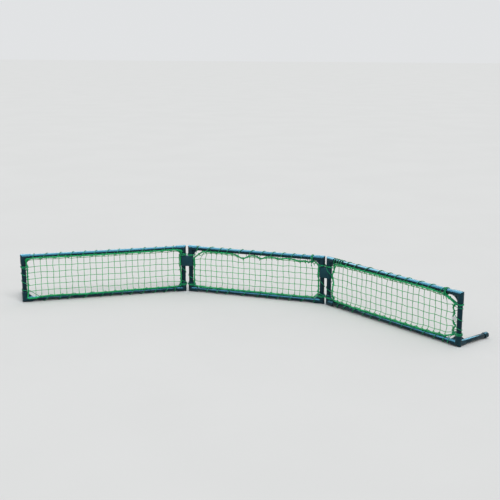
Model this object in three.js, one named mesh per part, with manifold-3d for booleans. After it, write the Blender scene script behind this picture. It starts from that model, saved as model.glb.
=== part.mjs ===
// A low folding net fence, used on the ground as a target: three pipe frames, each with a net laced
// into it, joined side by side by two double sleeves in which the neighbouring posts turn.
//
// Millimetres, +Z up. X runs along the middle frame, and the frames close in towards -Y, the front.
// The origin is on the ground under the middle of the whole fence.

import * as THREE from 'three';
import { mergeVertices } from 'three/addons/utils/BufferGeometryUtils.js';
import Module from 'manifold-3d';

const wasm = await Module();
wasm.setup();

// ---------------------------------------------------------------- driving dimensions

// Frames
const overallHeight = 300;      // ground to the top of the corner fittings
const endPanelSpan = 986;       // between the post centres of the left and right frames
const middlePanelSpan = 861;    // between the post centres of the middle frame
const leftFold = 34.2;          // degrees that the left frame stands forward of the middle one
const rightFold = 31.9;         // degrees that the right frame stands forward of the middle one

// Pipe and what is moulded to fit it
const pipeDiameter = 28;
const pipeWall = 1.8;
const fitClearance = 0.3;       // play all round between a pipe and the socket or sleeve that holds it
const fittingWall = 2.7;        // wall of a socket of a corner fitting
const legLength = 46;           // corner centre to the mouth of each socket
const socketFloor = 19;         // corner centre to the floor of each socket
const webThickness = 6;         // web in each inside corner of a fitting
const webHollow = 4.5;          // how far the web's edge is drawn in towards the corner
const cornerChamfer = 2.5;      // taken off the outer corner of each fitting

// Hinge blocks
const hingeSpacing = 48;        // between the two posts in one block
const sleeveWall = 2.5;
const blockHeight = 64;
const blockDrop = 69;           // top of the frame to the top of the block
const blockChamfer = 0.8;

// Feet
const footReach = 240;          // post centre to the end of the foot cap
const capLength = 30;
const capFloor = 5;             // thickness of the cap's closed end
const capEdge = 4;              // rounding radius of the cap's closed end
const capLip = 4;               // length of the raised lip at the cap's mouth
const capNeck = 0.8;            // how far the rest of the cap lies below the lip

// Net, border rope and lacing
const ropeDiameter = 10;
const cordDiameter = 2.4;       // lacing cord
const netCordWidth = 3;
const netCordDepth = 2.4;
const cordClearance = 0.3;      // between a cord or rope and what it lies on
const ropeBend = 22;            // bend radius of the border rope at the fitting webs
const looseNetInset = 42;       // post centre to border rope on the right frame, whose net is narrower
const bindingSpacing = 4;       // between the close turns that start each lacing
const laceFree = 14;            // from the mouth of a fitting to the first turn of the lacing
const laceSlant = 4;            // half of what the lacing gains along the pipe as it passes the net

// Label on the right frame's border rope
const labelHeight = 22;
const labelThickness = 0.6;
const labelTail = 21;           // rope centre to the label's free edge

// Shares that shape the ropes
const bendShare = 0.48;         // the most of a straight stretch that the bend at either end may take
const passShare = 0.8;          // of the lacing's reach round the rope, how far from the net it turns
const slantShare = 0.25;        // of the way to a crossing, the most that the lacing may gain there
const halfCell = 0.5;           // of a gap of the net, where the lacing passes it

// Counts
const pipeSides = 16;
const ropeSides = 8;
const cordSides = 3;
const bendSteps = 2;            // along each bend of the border rope
const edgeSteps = 2;            // along the rounding of a foot cap
const webSteps = 4;             // along the drawn-in edge of a web
const labelSteps = 8;           // round the rope in half of the label
const bindingTurns = 2;         // close turns before the first in step
const leftColumns = 25;         // of gaps in the net
const middleColumns = 22;
const rightColumns = 23;
const railTurns = 9;            // of the lacing on each rail
const labelRow = 2;             // row between level strands that holds the label, and no turn beside it

// ---------------------------------------------------------------- worked out from them

const pipeRadius = pipeDiameter / 2;
const boreRadius = pipeRadius + fitClearance;
const fittingRadius = boreRadius + fittingWall;
const sleeveRadius = boreRadius + sleeveWall;
const ropeRadius = ropeDiameter / 2;
const cordRadius = cordDiameter / 2;
const railRise = overallHeight - 2 * fittingRadius;     // between the centres of two rails
const railInset = pipeRadius + cordClearance + ropeRadius;
const postInset = Math.max(railInset, sleeveRadius + cordClearance + ropeRadius);
const blockTop = overallHeight - blockDrop;
const blockFoot = blockTop - blockHeight;
const facetCos = Math.cos(Math.PI / pipeSides);

// How the solids are made
const weldDistance = 1e-4;      // corners this close are one
const overcut = 1;              // how far a cutter stands past the face that it cuts
const measureStep = 2;          // between the points on which a cord's gap to itself is measured
const neighbourSpan = 6;        // cord diameters along the cord that count as the same stretch

const finish = {
  pipe: { color: 0x10303a, roughness: 0.25, metalness: 0.0 },
  fitting: { color: 0x122e36, roughness: 0.4, metalness: 0.0 },
  block: { color: 0x1a3d46, roughness: 0.6, metalness: 0.0 },
  net: { color: 0x25a468, roughness: 0.85, metalness: 0.0 },
  rope: { color: 0x14935a, roughness: 0.8, metalness: 0.0 },
  cord: { color: 0x0f7f55, roughness: 0.75, metalness: 0.0 },
  label: { color: 0xf2f3f1, roughness: 0.7, metalness: 0.0 },
};

// ---------------------------------------------------------------- solids

function toSolid(geometry) {
  geometry.deleteAttribute('normal');
  geometry.deleteAttribute('uv');
  const merged = mergeVertices(geometry, weldDistance);
  const mesh = new wasm.Mesh({
    numProp: 3,
    vertProperties: new Float32Array(merged.attributes.position.array),
    triVerts: new Uint32Array(merged.index.array),
  });
  return new wasm.Manifold(mesh);
}

function toGeometry(solid) {
  const mesh = solid.getMesh();
  const geometry = new THREE.BufferGeometry();
  geometry.setAttribute('position', new THREE.BufferAttribute(mesh.vertProperties, 3));
  geometry.setIndex(new THREE.BufferAttribute(mesh.triVerts, 1));
  return geometry;
}

function indexedGeometry(points, triangles) {
  const geometry = new THREE.BufferGeometry().setFromPoints(points);
  geometry.setIndex(triangles.flat());
  return geometry;
}

function part(name, geometry, look) {
  const mesh = new THREE.Mesh(geometry, new THREE.MeshStandardMaterial(finish[look]));
  mesh.name = name;
  return mesh;
}

// A polygon whose flats face along the axes. Its corners lie on the radius, or, if tangent is set,
// its flats do.
function ringPoints(radius, tangent, sides = pipeSides) {
  const reach = tangent ? radius / Math.cos(Math.PI / sides) : radius;
  return Array.from({ length: sides }, (_, i) => {
    const angle = ((i + 0.5) * 2 * Math.PI) / sides;
    return new THREE.Vector2(reach * Math.cos(angle), reach * Math.sin(angle));
  });
}

// A round bar from start to end along one axis.
function bar(radius, axis, start, end) {
  const shape = new THREE.Shape(ringPoints(radius, true));
  const geometry = new THREE.ExtrudeGeometry(shape, { depth: end - start, bevelEnabled: false });
  geometry.translate(0, 0, start);
  if (axis === 'x') geometry.rotateY(Math.PI / 2);
  if (axis === 'y') geometry.rotateX(-Math.PI / 2);
  return toSolid(geometry);
}

// A length of pipe, standing on its lower end.
function pipeGeometry(length) {
  const shape = new THREE.Shape(ringPoints(pipeRadius, false));
  shape.holes.push(new THREE.Path(ringPoints(pipeRadius - pipeWall, false)));
  return new THREE.ExtrudeGeometry(shape, { depth: length, bevelEnabled: false });
}

// ---------------------------------------------------------------- corner fittings

// The web that fills an inside corner, lying in the XZ plane between legs along +X and +Z.
function webSolid() {
  const shape = new THREE.Shape();
  const insideWall = boreRadius + fittingWall / 2;
  const edge = legLength - fitClearance;
  const hollow = (legLength + fittingRadius) / 2 - webHollow;
  shape.moveTo(0, 0);
  shape.lineTo(legLength, 0);
  shape.lineTo(legLength, insideWall);
  shape.lineTo(edge, fittingRadius);
  shape.quadraticCurveTo(hollow, hollow, fittingRadius, edge);
  shape.lineTo(insideWall, legLength);
  shape.lineTo(0, legLength);
  const options = { depth: webThickness, bevelEnabled: false, curveSegments: webSteps };
  const geometry = new THREE.ExtrudeGeometry(shape, options);
  geometry.translate(0, 0, -webThickness / 2);
  geometry.rotateX(Math.PI / 2);
  return toSolid(geometry);
}

// The slanted block that takes the chamfer off the outer corner at -X, -Z.
function chamferCutter() {
  const size = 2 * (fittingRadius + legLength);
  const box = new THREE.BoxGeometry(size, size, size);
  box.translate(-size / 2, 0, 0);
  box.rotateY(-Math.PI / 4);
  const offset = fittingRadius - cornerChamfer / 2;
  box.translate(-offset, 0, -offset);
  return toSolid(box);
}

// An elbow with sockets along +X and +Z, mitred at the outer corner. The corner of an end frame that
// carries a foot has a third socket, along +Y.
function fittingGeometry(hasFoot) {
  const web = webSolid();
  const corner = bar(fittingRadius, 'x', -fittingRadius, fittingWall)
    .intersect(bar(fittingRadius, 'z', -fittingRadius, fittingWall))
    .subtract(chamferCutter());
  const axes = hasFoot ? ['x', 'z', 'y'] : ['x', 'z'];
  const webs = [web];
  if (hasFoot) webs.push(web.rotate([0, 0, 90]), web.rotate([-90, 0, 0]));
  let body = corner;
  for (const axis of axes) body = body.add(bar(fittingRadius, axis, 0, legLength));
  for (const rib of webs) body = body.add(rib);
  for (const axis of axes) {
    body = body.subtract(bar(boreRadius, axis, socketFloor, legLength + overcut));
  }
  return toGeometry(body);
}

// ---------------------------------------------------------------- hinge blocks and feet

// Two sleeves side by side in one flat-faced moulding. The first sleeve stands at the origin.
function blockGeometry() {
  const ring = (radius, x) => ringPoints(radius, true).map((p) => new THREE.Vector2(p.x + x, p.y));
  const farEnd = ring(sleeveRadius, hingeSpacing).filter((p) => p.x > hingeSpacing);
  const nearEnd = ring(sleeveRadius, 0).filter((p) => p.x < 0);
  farEnd.sort((p, q) => p.y - q.y);
  nearEnd.sort((p, q) => q.y - p.y);
  const shape = new THREE.Shape([...farEnd, ...nearEnd]);
  for (const x of [0, hingeSpacing]) shape.holes.push(new THREE.Path(ring(boreRadius, x)));
  const geometry = new THREE.ExtrudeGeometry(shape, {
    depth: blockHeight - 2 * blockChamfer,
    bevelSegments: 1,
    bevelThickness: blockChamfer,
    bevelSize: blockChamfer,
    bevelOffset: -blockChamfer,
  });
  geometry.translate(0, 0, blockChamfer);
  return geometry;
}

// A cup along +Y over the end of the foot pipe. Its lip is as thick as the corner fittings, so that the
// foot lies level.
function capGeometry() {
  const lip = fittingRadius / facetCos;
  const outer = (fittingRadius - capNeck) / facetCos;
  const bore = boreRadius / facetCos;
  const floor = capLength - capFloor;
  const rounding = Array.from({ length: edgeSteps + 1 }, (_, i) => {
    const angle = (i * Math.PI) / 2 / edgeSteps;
    return [outer - capEdge * (1 - Math.cos(angle)), capLength - capEdge * (1 - Math.sin(angle))];
  });
  const mouth = [[bore, 0], [lip, 0], [lip, capLip], [outer, capLip]];
  const profile = [[0, floor], [bore, floor], ...mouth, ...rounding, [0, capLength]];
  const points = profile.map(([x, y]) => new THREE.Vector2(x, y));
  return new THREE.LatheGeometry(points, pipeSides, Math.PI / pipeSides);
}

// ---------------------------------------------------------------- ropes and cords

// A tube along a line of points, each ring lying in the plane that halves the bend there.
function tubeGeometry(path, radius, sides, closed) {
  const count = path.length;
  const point = (i) => path[(i + count) % count];
  const direction = (i) => point(i + 1).clone().sub(point(i)).normalize();
  const points = [];
  const across = new THREE.Vector3(0, 1, 0);
  for (let i = 0; i < count; i++) {
    const into = !closed && i === 0 ? direction(0) : direction(i - 1);
    const out = !closed && i === count - 1 ? into : direction(i);
    const along = into.clone().add(out).normalize();
    const stretch = 1 / along.dot(out) - 1;
    const bendAxis = out.clone().sub(into).normalize();
    across.addScaledVector(along, -across.dot(along)).normalize();
    const side = new THREE.Vector3().crossVectors(along, across);
    for (let k = 0; k < sides; k++) {
      const angle = ((k + 0.5) * 2 * Math.PI) / sides;
      const offset = across.clone().multiplyScalar(Math.cos(angle)).addScaledVector(side, Math.sin(angle));
      offset.addScaledVector(bendAxis, offset.dot(bendAxis) * stretch);
      points.push(path[i].clone().addScaledVector(offset, radius));
    }
  }
  const triangles = [];
  const spans = closed ? count : count - 1;
  for (let i = 0; i < spans; i++) {
    const next = (i + 1) % count;
    for (let k = 0; k < sides; k++) {
      const m = (k + 1) % sides;
      const [a, b, c, d] = [i * sides + k, i * sides + m, next * sides + m, next * sides + k];
      triangles.push([a, b, c], [a, c, d]);
    }
  }
  if (!closed) {
    const last = (count - 1) * sides;
    for (let k = 1; k < sides - 1; k++) triangles.push([0, k + 1, k], [last, last + k, last + k + 1]);
  }
  return indexedGeometry(points, triangles);
}

// Where the border rope turns, seen from the front: inset from the posts and rails, with each corner
// cut off along the web of the fitting there.
function ropeCorners(span, insets) {
  const slant = legLength + fittingRadius + Math.SQRT2 * (ropeRadius + cordClearance);
  const end = (side, inset) => {
    const postX = side * (span / 2 - inset);
    const railX = side * (span / 2 - Math.max(slant - railInset, inset + cordClearance));
    const railZ = railRise / 2 - railInset;
    const postZ = railRise / 2 - Math.max(slant - inset, railInset + cordClearance);
    return [[railX, -railZ], [postX, -postZ], [postX, postZ], [railX, railZ]];
  };
  const corners = [...end(1, insets.right), ...end(-1, insets.left).reverse()];
  return corners.map(([x, z]) => new THREE.Vector3(x, 0, z + overallHeight / 2));
}

function ropePath(corners) {
  const count = corners.length;
  return corners.flatMap((corner, i) => {
    const before = corners[(i + count - 1) % count].clone().sub(corner);
    const after = corners[(i + 1) % count].clone().sub(corner);
    const halfTurn = (Math.PI - before.angleTo(after)) / 2;
    const shorter = Math.min(before.length(), after.length());
    const bend = Math.min(ropeBend * Math.tan(halfTurn), bendShare * shorter);
    const start = corner.clone().addScaledVector(before.normalize(), bend);
    const end = corner.clone().addScaledVector(after.normalize(), bend);
    return new THREE.QuadraticBezierCurve3(start, corner, end).getPoints(bendSteps);
  });
}

// One turn of lacing round a pipe and the rope beside it, as steps of [towards the rope, back]. The
// pipe is at the origin and the rope at the inset. A turn starts in front of the rope, goes round the
// pipe and comes to the back of the rope.
function laceTurn(inset) {
  const pipeReach = pipeRadius + cordClearance + cordRadius;
  const ropeReach = ropeRadius + cordClearance + cordRadius;
  const hexagon = pipeReach / Math.cos(Math.PI / 6);
  return [
    [inset + ropeReach, -passShare * ropeReach],
    [0, -hexagon],
    [-pipeReach, -hexagon / 2],
    [-pipeReach, hexagon / 2],
    [0, hexagon],
    [inset + ropeReach, passShare * ropeReach],
  ];
}

// The turns along one pipe. Each turn ends by passing through the net at the next of the given
// crossings, counted in millimetres from the start. Pipe and rope lie beside each other along inward.
function laceRun(start, along, inward, inset, crossings) {
  const turn = laceTurn(inset);
  const path = [];
  const place = (distance, [towards, back]) => {
    const point = start.clone().addScaledVector(along, distance).addScaledVector(inward, towards);
    point.y += back;
    path.push(point);
  };
  let from = 0;
  for (const crossing of crossings) {
    const slant = Math.min(laceSlant, slantShare * (crossing - from));
    const to = crossing - slant;
    turn.forEach((step, i) => place(from + ((to - from) * i) / (turn.length - 1), step));
    from = crossing + slant;
  }
  place(from, turn[0]);
  return path;
}

// The whole lacing of one frame: it starts with close turns in one gap of the net at the left of the top
// rail, follows the top rail, the right post, the bottom rail and the left post, and ends in front of the
// rope there.
function lacePath(frame) {
  const { span, window: net, insets, posts } = frame;
  const top = overallHeight - fittingRadius;
  const bottom = fittingRadius;
  const bottomStart = span / 2 - legLength - laceFree;
  const leftStart = bottom + legLength + laceFree;
  const at = (x, z) => new THREE.Vector3(x, 0, z);
  const [left, right, down, up] = [at(-1, 0), at(1, 0), at(0, -1), at(0, 1)];
  const spread = net.columns / railTurns;
  const railGaps = Array.from({ length: railTurns }, (_, i) => Math.floor((i + halfCell) * spread));
  const xs = railGaps.map((gap) => gapMiddle(net.left, net.right, net.columns, gap));
  const levels = levelStrands(net);
  const rowMiddles = levels.slice(1).map((level, row) => (level + levels[row]) / 2);
  const zsOn = ({ laceTop, freeRow }) => {
    const takesTurn = (z, row) => row !== freeRow && z > leftStart && z < laceTop - laceFree;
    return rowMiddles.filter(takesTurn);
  };
  const run = (places, start, sign) => {
    const distances = places.map((place) => sign * (place - start));
    return distances.filter((distance) => distance > 0).sort((p, q) => p - q);
  };
  const binding = Array.from({ length: bindingTurns }, (_, i) => (i + 1) * bindingSpacing);
  const topStart = xs[0] - (bindingTurns + 1) * bindingSpacing;
  const topRun = [...binding, ...run(xs, topStart, 1)];
  const rightRun = run(zsOn(posts.right), posts.right.laceTop, -1);
  const bottomRun = run(xs, bottomStart, -1);
  const leftRun = run(zsOn(posts.left), leftStart, 1);
  return [
    ...laceRun(at(topStart, top), right, down, railInset, topRun),
    ...laceRun(at(span / 2, posts.right.laceTop), down, left, insets.right, rightRun),
    ...laceRun(at(bottomStart, bottom), left, up, railInset, bottomRun),
    ...laceRun(at(-span / 2, leftStart), up, right, insets.left, leftRun),
  ];
}

// The least gap between two stretches of a tube that aren't neighbours, measured on points along it.
function leastSelfGap(path, diameter) {
  const curve = new THREE.CurvePath();
  for (let i = 1; i < path.length; i++) curve.add(new THREE.LineCurve3(path[i - 1], path[i]));
  const points = curve.getSpacedPoints(Math.round(curve.getLength() / measureStep));
  const skip = Math.ceil((neighbourSpan * diameter) / measureStep);
  let least = Infinity;
  for (let i = 0; i < points.length; i++) {
    for (let j = i + skip; j < points.length; j++) {
      least = Math.min(least, points[i].distanceTo(points[j]));
    }
  }
  return least - diameter;
}

// ---------------------------------------------------------------- nets

// Square mesh of three-sided strands, flat at the back and fused where they cross. Each strand ends at
// the border rope.
function netGeometry(xs, zs, endsOfColumn, endsOfRow) {
  const halfWidth = netCordWidth / 2;
  const halfDepth = netCordDepth / 2;
  const edges = [-halfWidth, halfWidth];
  const points = [];
  const triangles = [];
  const add = (x, y, z) => points.push(new THREE.Vector3(x, y, z)) - 1;
  const quad = (a, b, c, d) => triangles.push([a, b, c], [a, c, d]);

  // A ring of a strand has a ridge in front, and a left and a right edge at the back as seen along it.
  const span = (from, to) => {
    quad(from.front, to.front, to.left, from.left);
    quad(from.right, to.right, to.front, from.front);
    quad(from.left, to.left, to.right, from.right);
  };
  const looseEnd = (x, z, acrossX, acrossZ) => ({
    front: add(x, -halfDepth, z),
    left: add(x - halfWidth * acrossX, halfDepth, z - halfWidth * acrossZ),
    right: add(x + halfWidth * acrossX, halfDepth, z + halfWidth * acrossZ),
  });
  const knotAt = (x, z) => {
    const front = add(x, -halfDepth, z);
    const corner = edges.map((dx) => edges.map((dz) => add(x + dx, halfDepth, z + dz)));
    quad(corner[0][0], corner[0][1], corner[1][1], corner[1][0]);
    return { front, corner };
  };
  const upwards = ({ front, corner }, side) => ({ front, left: corner[0][side], right: corner[1][side] });
  const sideways = ({ front, corner }, side) => ({ front, left: corner[side][1], right: corner[side][0] });
  const strand = (foot, knots, ringOf, head) => {
    let from = foot;
    for (const knot of knots) {
      span(from, ringOf(knot, 0));
      from = ringOf(knot, 1);
    }
    span(from, head);
    triangles.push([foot.front, foot.left, foot.right], [head.front, head.right, head.left]);
  };

  const knots = xs.map((x) => zs.map((z) => knotAt(x, z)));
  xs.forEach((x, i) => {
    const [low, high] = endsOfColumn(x);
    strand(looseEnd(x, low, 1, 0), knots[i], upwards, looseEnd(x, high, 1, 0));
  });
  zs.forEach((z, j) => {
    const [low, high] = endsOfRow(z);
    const row = knots.map((column) => column[j]);
    strand(looseEnd(low, z, 0, -1), row, sideways, looseEnd(high, z, 0, -1));
  });
  return indexedGeometry(points, triangles);
}

// The window that a frame's net fills, inside its border rope, and its columns of gaps.
function netWindow(span, insets, columns) {
  const inside = ropeRadius + cordClearance;
  return {
    left: -span / 2 + insets.left + inside,
    right: span / 2 - insets.right - inside,
    low: fittingRadius + railInset + inside,
    high: overallHeight - fittingRadius - railInset - inside,
    columns,
  };
}

function gapMiddle(from, to, cells, gap) {
  return from + ((to - from) * (gap + halfCell)) / cells;
}

function uprightStrands({ left, right, columns }) {
  return Array.from({ length: columns - 1 }, (_, i) => left + ((right - left) * (i + 1)) / columns);
}

// The level strands lie as far apart as the upright ones, about the middle of the window's height, and
// there are as many as it holds.
function levelStrands({ left, right, low, high, columns }) {
  const mesh = (right - left) / columns;
  const meshes = Math.floor((high - low - 2 * netCordWidth) / mesh);
  const first = (low + high - mesh * meshes) / 2;
  return Array.from({ length: meshes + 1 }, (_, i) => first + mesh * i);
}

// The net of one frame. Seen from the front, the rope's path goes round counterclockwise without a
// hollow, so each of its stretches bounds every strand, which ends where the first of them stops it.
function panelNet(window, rope) {
  const clear = ropeRadius + cordClearance;
  const bound = (fixed, axis, other) => {
    const range = [-Infinity, Infinity];
    rope.forEach((a, i) => {
      const b = rope[(i + 1) % rope.length];
      const run = b[axis] - a[axis];
      if (Math.abs(run) < weldDistance) return;
      const rise = (b[other] - a[other]) / run;
      const reach = a[other] + rise * (fixed - a[axis]);
      const short = clear * Math.hypot(1, rise);
      const isLow = axis === 'x' ? run > 0 : run < 0;
      if (isLow) range[0] = Math.max(range[0], reach + short);
      else range[1] = Math.min(range[1], reach - short);
    });
    return range;
  };
  const ends = (middle, axis, other) => {
    const before = bound(middle - netCordWidth / 2, axis, other);
    const after = bound(middle + netCordWidth / 2, axis, other);
    return [Math.max(before[0], after[0]), Math.min(before[1], after[1])];
  };
  const xs = uprightStrands(window);
  const zs = levelStrands(window);
  return netGeometry(xs, zs, (x) => ends(x, 'x', 'z'), (z) => ends(z, 'z', 'x'));
}

// ---------------------------------------------------------------- label

// A strip folded round the rope with its two ends together, pointing at the post.
function labelGeometry() {
  const inner = ropeRadius + cordClearance;
  const outer = inner + labelThickness;
  const open = Math.asin(labelThickness / outer);
  const shape = new THREE.Shape();
  shape.moveTo(labelTail, -labelThickness);
  shape.lineTo(labelTail, labelThickness);
  shape.absarc(0, 0, outer, open, 2 * Math.PI - open, false);
  const hole = new THREE.Path();
  hole.absarc(0, 0, inner, 0, 2 * Math.PI, true);
  shape.holes.push(hole);
  const options = { depth: labelHeight, bevelEnabled: false, curveSegments: labelSteps };
  return new THREE.ExtrudeGeometry(shape, options);
}

// ---------------------------------------------------------------- frames

function addFrame(group, name, span, feet) {
  const railLength = span - 2 * (socketFloor + fitClearance);
  const postLength = railRise - 2 * (socketFloor + fitClearance);
  const rails = [['top', overallHeight - fittingRadius], ['bottom', fittingRadius]];
  const posts = [['left', -span / 2], ['right', span / 2]];
  for (const [where, z] of rails) {
    const rail = part(`${name}_${where}_rail`, pipeGeometry(railLength), 'pipe');
    rail.rotation.y = Math.PI / 2;
    rail.position.set(-railLength / 2, 0, z);
    group.add(rail);
  }
  for (const [where, x] of posts) {
    const post = part(`${name}_${where}_post`, pipeGeometry(postLength), 'pipe');
    post.position.set(x, 0, fittingRadius + socketFloor + fitClearance);
    group.add(post);
  }
  const turns = { bottom_left: 0, bottom_right: -Math.PI / 2, top_left: Math.PI / 2, top_right: Math.PI };
  for (const [railWhere, z] of rails) {
    for (const [postWhere, x] of posts) {
      const where = `${railWhere}_${postWhere}`;
      const hasFoot = feet.includes(where);
      const fitting = part(`${name}_${where}_fitting`, fittingGeometry(hasFoot), 'fitting');
      fitting.rotation.y = turns[where];
      fitting.position.set(x, 0, z);
      group.add(fitting);
      if (hasFoot) addFoot(group, name, x);
    }
  }
}

function addFoot(group, name, x) {
  const start = socketFloor + fitClearance;
  const capStart = footReach - capLength;
  const length = footReach - capFloor - fitClearance - start;
  const pipe = part(`${name}_foot_pipe`, pipeGeometry(length), 'pipe');
  pipe.rotation.x = -Math.PI / 2;
  pipe.position.set(x, start, fittingRadius);
  const cap = part(`${name}_foot_cap`, capGeometry(), 'fitting');
  cap.position.set(x, capStart, fittingRadius);
  group.add(pipe, cap);
}

function addNet(group, name, frame) {
  const rope = ropePath(ropeCorners(frame.span, frame.insets));
  const lace = lacePath(frame);
  group.add(
    part(`${name}_net`, panelNet(frame.window, rope), 'net'),
    part(`${name}_border_rope`, tubeGeometry(rope, ropeRadius, ropeSides, true), 'rope'),
    part(`${name}_lacing`, tubeGeometry(lace, cordRadius, cordSides, false), 'cord'),
  );
  console.log(`${name} lacing: least gap to itself ${leastSelfGap(lace, cordDiameter).toFixed(2)} mm`);
}

// ---------------------------------------------------------------- assembly

const tightInsets = { left: postInset, right: postInset };
const looseInsets = { left: looseNetInset, right: looseNetInset };

// An end post takes lacing from under its fitting, a post in a hinge block from under the block.
const outerPost = { laceTop: overallHeight - fittingRadius - legLength - laceFree };
const hingePost = { laceTop: blockFoot - laceFree };
const labelledPost = { ...outerPost, freeRow: labelRow };
const leftPosts = { left: outerPost, right: hingePost };
const middlePosts = { left: hingePost, right: hingePost };
const rightPosts = { left: hingePost, right: labelledPost };

function frameOf(span, insets, columns, posts) {
  return { span, insets, posts, window: netWindow(span, insets, columns) };
}

const leftFrame = frameOf(endPanelSpan, tightInsets, leftColumns, leftPosts);
const middleFrame = frameOf(middlePanelSpan, tightInsets, middleColumns, middlePosts);
const rightFrame = frameOf(endPanelSpan, looseInsets, rightColumns, rightPosts);

const fence = new THREE.Group();

const middle = new THREE.Group();
addFrame(middle, 'middle', middlePanelSpan, []);
addNet(middle, 'middle', middleFrame);
fence.add(middle);

// Each side: the block turns about the middle frame's post, and the end frame about its own post in
// the block. Both take half of the fold.
function addSide(name, side, fold, frame) {
  const halfFold = THREE.MathUtils.degToRad(fold / 2);
  const hinge = new THREE.Group();
  hinge.position.x = (side * middlePanelSpan) / 2;
  hinge.rotation.z = side < 0 ? Math.PI + halfFold : -halfFold;
  const block = part(`${name}_hinge_block`, blockGeometry(), 'block');
  block.position.z = blockFoot;
  const swing = new THREE.Group();
  swing.position.x = hingeSpacing;
  swing.rotation.z = side < 0 ? halfFold - Math.PI : -halfFold;
  const panel = new THREE.Group();
  panel.position.x = (side * endPanelSpan) / 2;
  addFrame(panel, name, endPanelSpan, [side < 0 ? 'bottom_left' : 'bottom_right']);
  addNet(panel, name, frame);
  swing.add(panel);
  hinge.add(block, swing);
  fence.add(hinge);
  return panel;
}

addSide('left', -1, leftFold, leftFrame);
const rightPanel = addSide('right', 1, rightFold, rightFrame);

const strandBelow = levelStrands(rightFrame.window)[labelRow];
const label = part('right_label', labelGeometry(), 'label');
const labelFoot = strandBelow + netCordWidth / 2 + cordClearance;
label.position.set(endPanelSpan / 2 - looseNetInset, 0, labelFoot);
rightPanel.add(label);

fence.updateMatrixWorld(true);
const bounds = new THREE.Box3().setFromObject(fence, true);
const centre = bounds.getCenter(new THREE.Vector3());
fence.position.set(-centre.x, -centre.y, -bounds.min.z);

export default fence;
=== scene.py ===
"""Dresses a low folding net fence: coated pipes, moulded corners, hinge blocks, nets and lacing.

Metres, +Z up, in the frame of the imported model. Each pipe frame has coordinates of its own as well:
x along the rails from the middle of its left post, y to the back, and z up from the ground.
"""

from __future__ import annotations

import logging
import math
import random
from dataclasses import dataclass, field
from enum import Enum
from typing import Any, Callable, Sequence

import bmesh
import bpy
import numpy as np
from mathutils import Matrix, Vector


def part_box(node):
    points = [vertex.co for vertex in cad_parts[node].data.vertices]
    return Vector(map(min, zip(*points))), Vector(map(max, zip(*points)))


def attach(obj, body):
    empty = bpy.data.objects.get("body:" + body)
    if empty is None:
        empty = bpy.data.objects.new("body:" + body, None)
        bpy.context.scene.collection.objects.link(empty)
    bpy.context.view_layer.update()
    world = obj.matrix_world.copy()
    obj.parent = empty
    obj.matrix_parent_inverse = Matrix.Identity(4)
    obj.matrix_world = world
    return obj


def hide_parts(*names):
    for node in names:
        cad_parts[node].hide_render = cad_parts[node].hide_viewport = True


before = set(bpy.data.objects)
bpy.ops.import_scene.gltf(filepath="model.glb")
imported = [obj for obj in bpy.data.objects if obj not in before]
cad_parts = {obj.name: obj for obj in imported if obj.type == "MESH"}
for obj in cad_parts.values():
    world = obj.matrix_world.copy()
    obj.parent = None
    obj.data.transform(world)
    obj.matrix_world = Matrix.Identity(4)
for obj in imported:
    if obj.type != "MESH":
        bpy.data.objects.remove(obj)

log = logging.getLogger("net_fence")
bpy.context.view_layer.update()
UP = Vector((0.0, 0.0, 1.0))
Colour = tuple[float, float, float]

# The attribute that says how far a point of a moulding lies from its parting plane.
MOULD_DEPTH = "mould_depth"
# What the dark, glossy pieces mirror of the sky.
SKY_TINT: Colour = (0.3, 0.75, 1.0)
# The radius of every socket and sleeve, 0.3 mm wider than the pipe in it.
BORE = 0.0143
# Edges past the first angle are rims, which are rounded, and edges past the second stay hard.
RIM_ANGLE = math.radians(60)
HARD_ANGLE = math.radians(35)
# Vertices nearer than this are one.
TOUCHING = 1e-6

# ------------------------------------------------------------------ shader maths


class Signal:
    """A shader socket whose arithmetic adds Math nodes."""

    def __init__(self, shader: Shader, socket: bpy.types.NodeSocket | None) -> None:
        """Keeps the socket and the shader that it belongs to."""
        self.shader = shader
        self.socket = socket

    def _math(self, operation: str, first: Any, second: Any = 0.0) -> Signal:
        """Adds one Math node.

        Args:
            operation: the Math node's operation.
            first: the first number or signal.
            second: the second number or signal.

        Returns:
            The node's output.
        """
        return self.shader.add("ShaderNodeMath", {"operation": operation}, {0: first, 1: second})

    def __add__(self, other: Any) -> Signal:
        """Adds a number or signal."""
        return self._math("ADD", self, other)

    __radd__ = __add__

    def __sub__(self, other: Any) -> Signal:
        """Takes a number or signal away."""
        return self._math("SUBTRACT", self, other)

    def __rsub__(self, other: Any) -> Signal:
        """Takes this signal away from a number."""
        return self._math("SUBTRACT", other, self)

    def __mul__(self, other: Any) -> Signal:
        """Multiplies by a number or signal."""
        return self._math("MULTIPLY", self, other)

    __rmul__ = __mul__

    def size(self) -> Signal:
        """Drops the sign."""
        return self._math("ABSOLUTE", self)

    def sine(self) -> Signal:
        """Takes the sine."""
        return self._math("SINE", self)

    def between(self, low: float, high: float) -> Signal:
        """Rises smoothly from 0 to 1 as the signal goes from low to high.

        Args:
            low: where the result is 0.
            high: where the result is 1.

        Returns:
            The result, which stays within 0 and 1.
        """
        settings = {"interpolation_type": "SMOOTHSTEP"}
        inputs = {"Value": self, "From Min": low, "From Max": high}
        return self.shader.add("ShaderNodeMapRange", settings, inputs)


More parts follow.
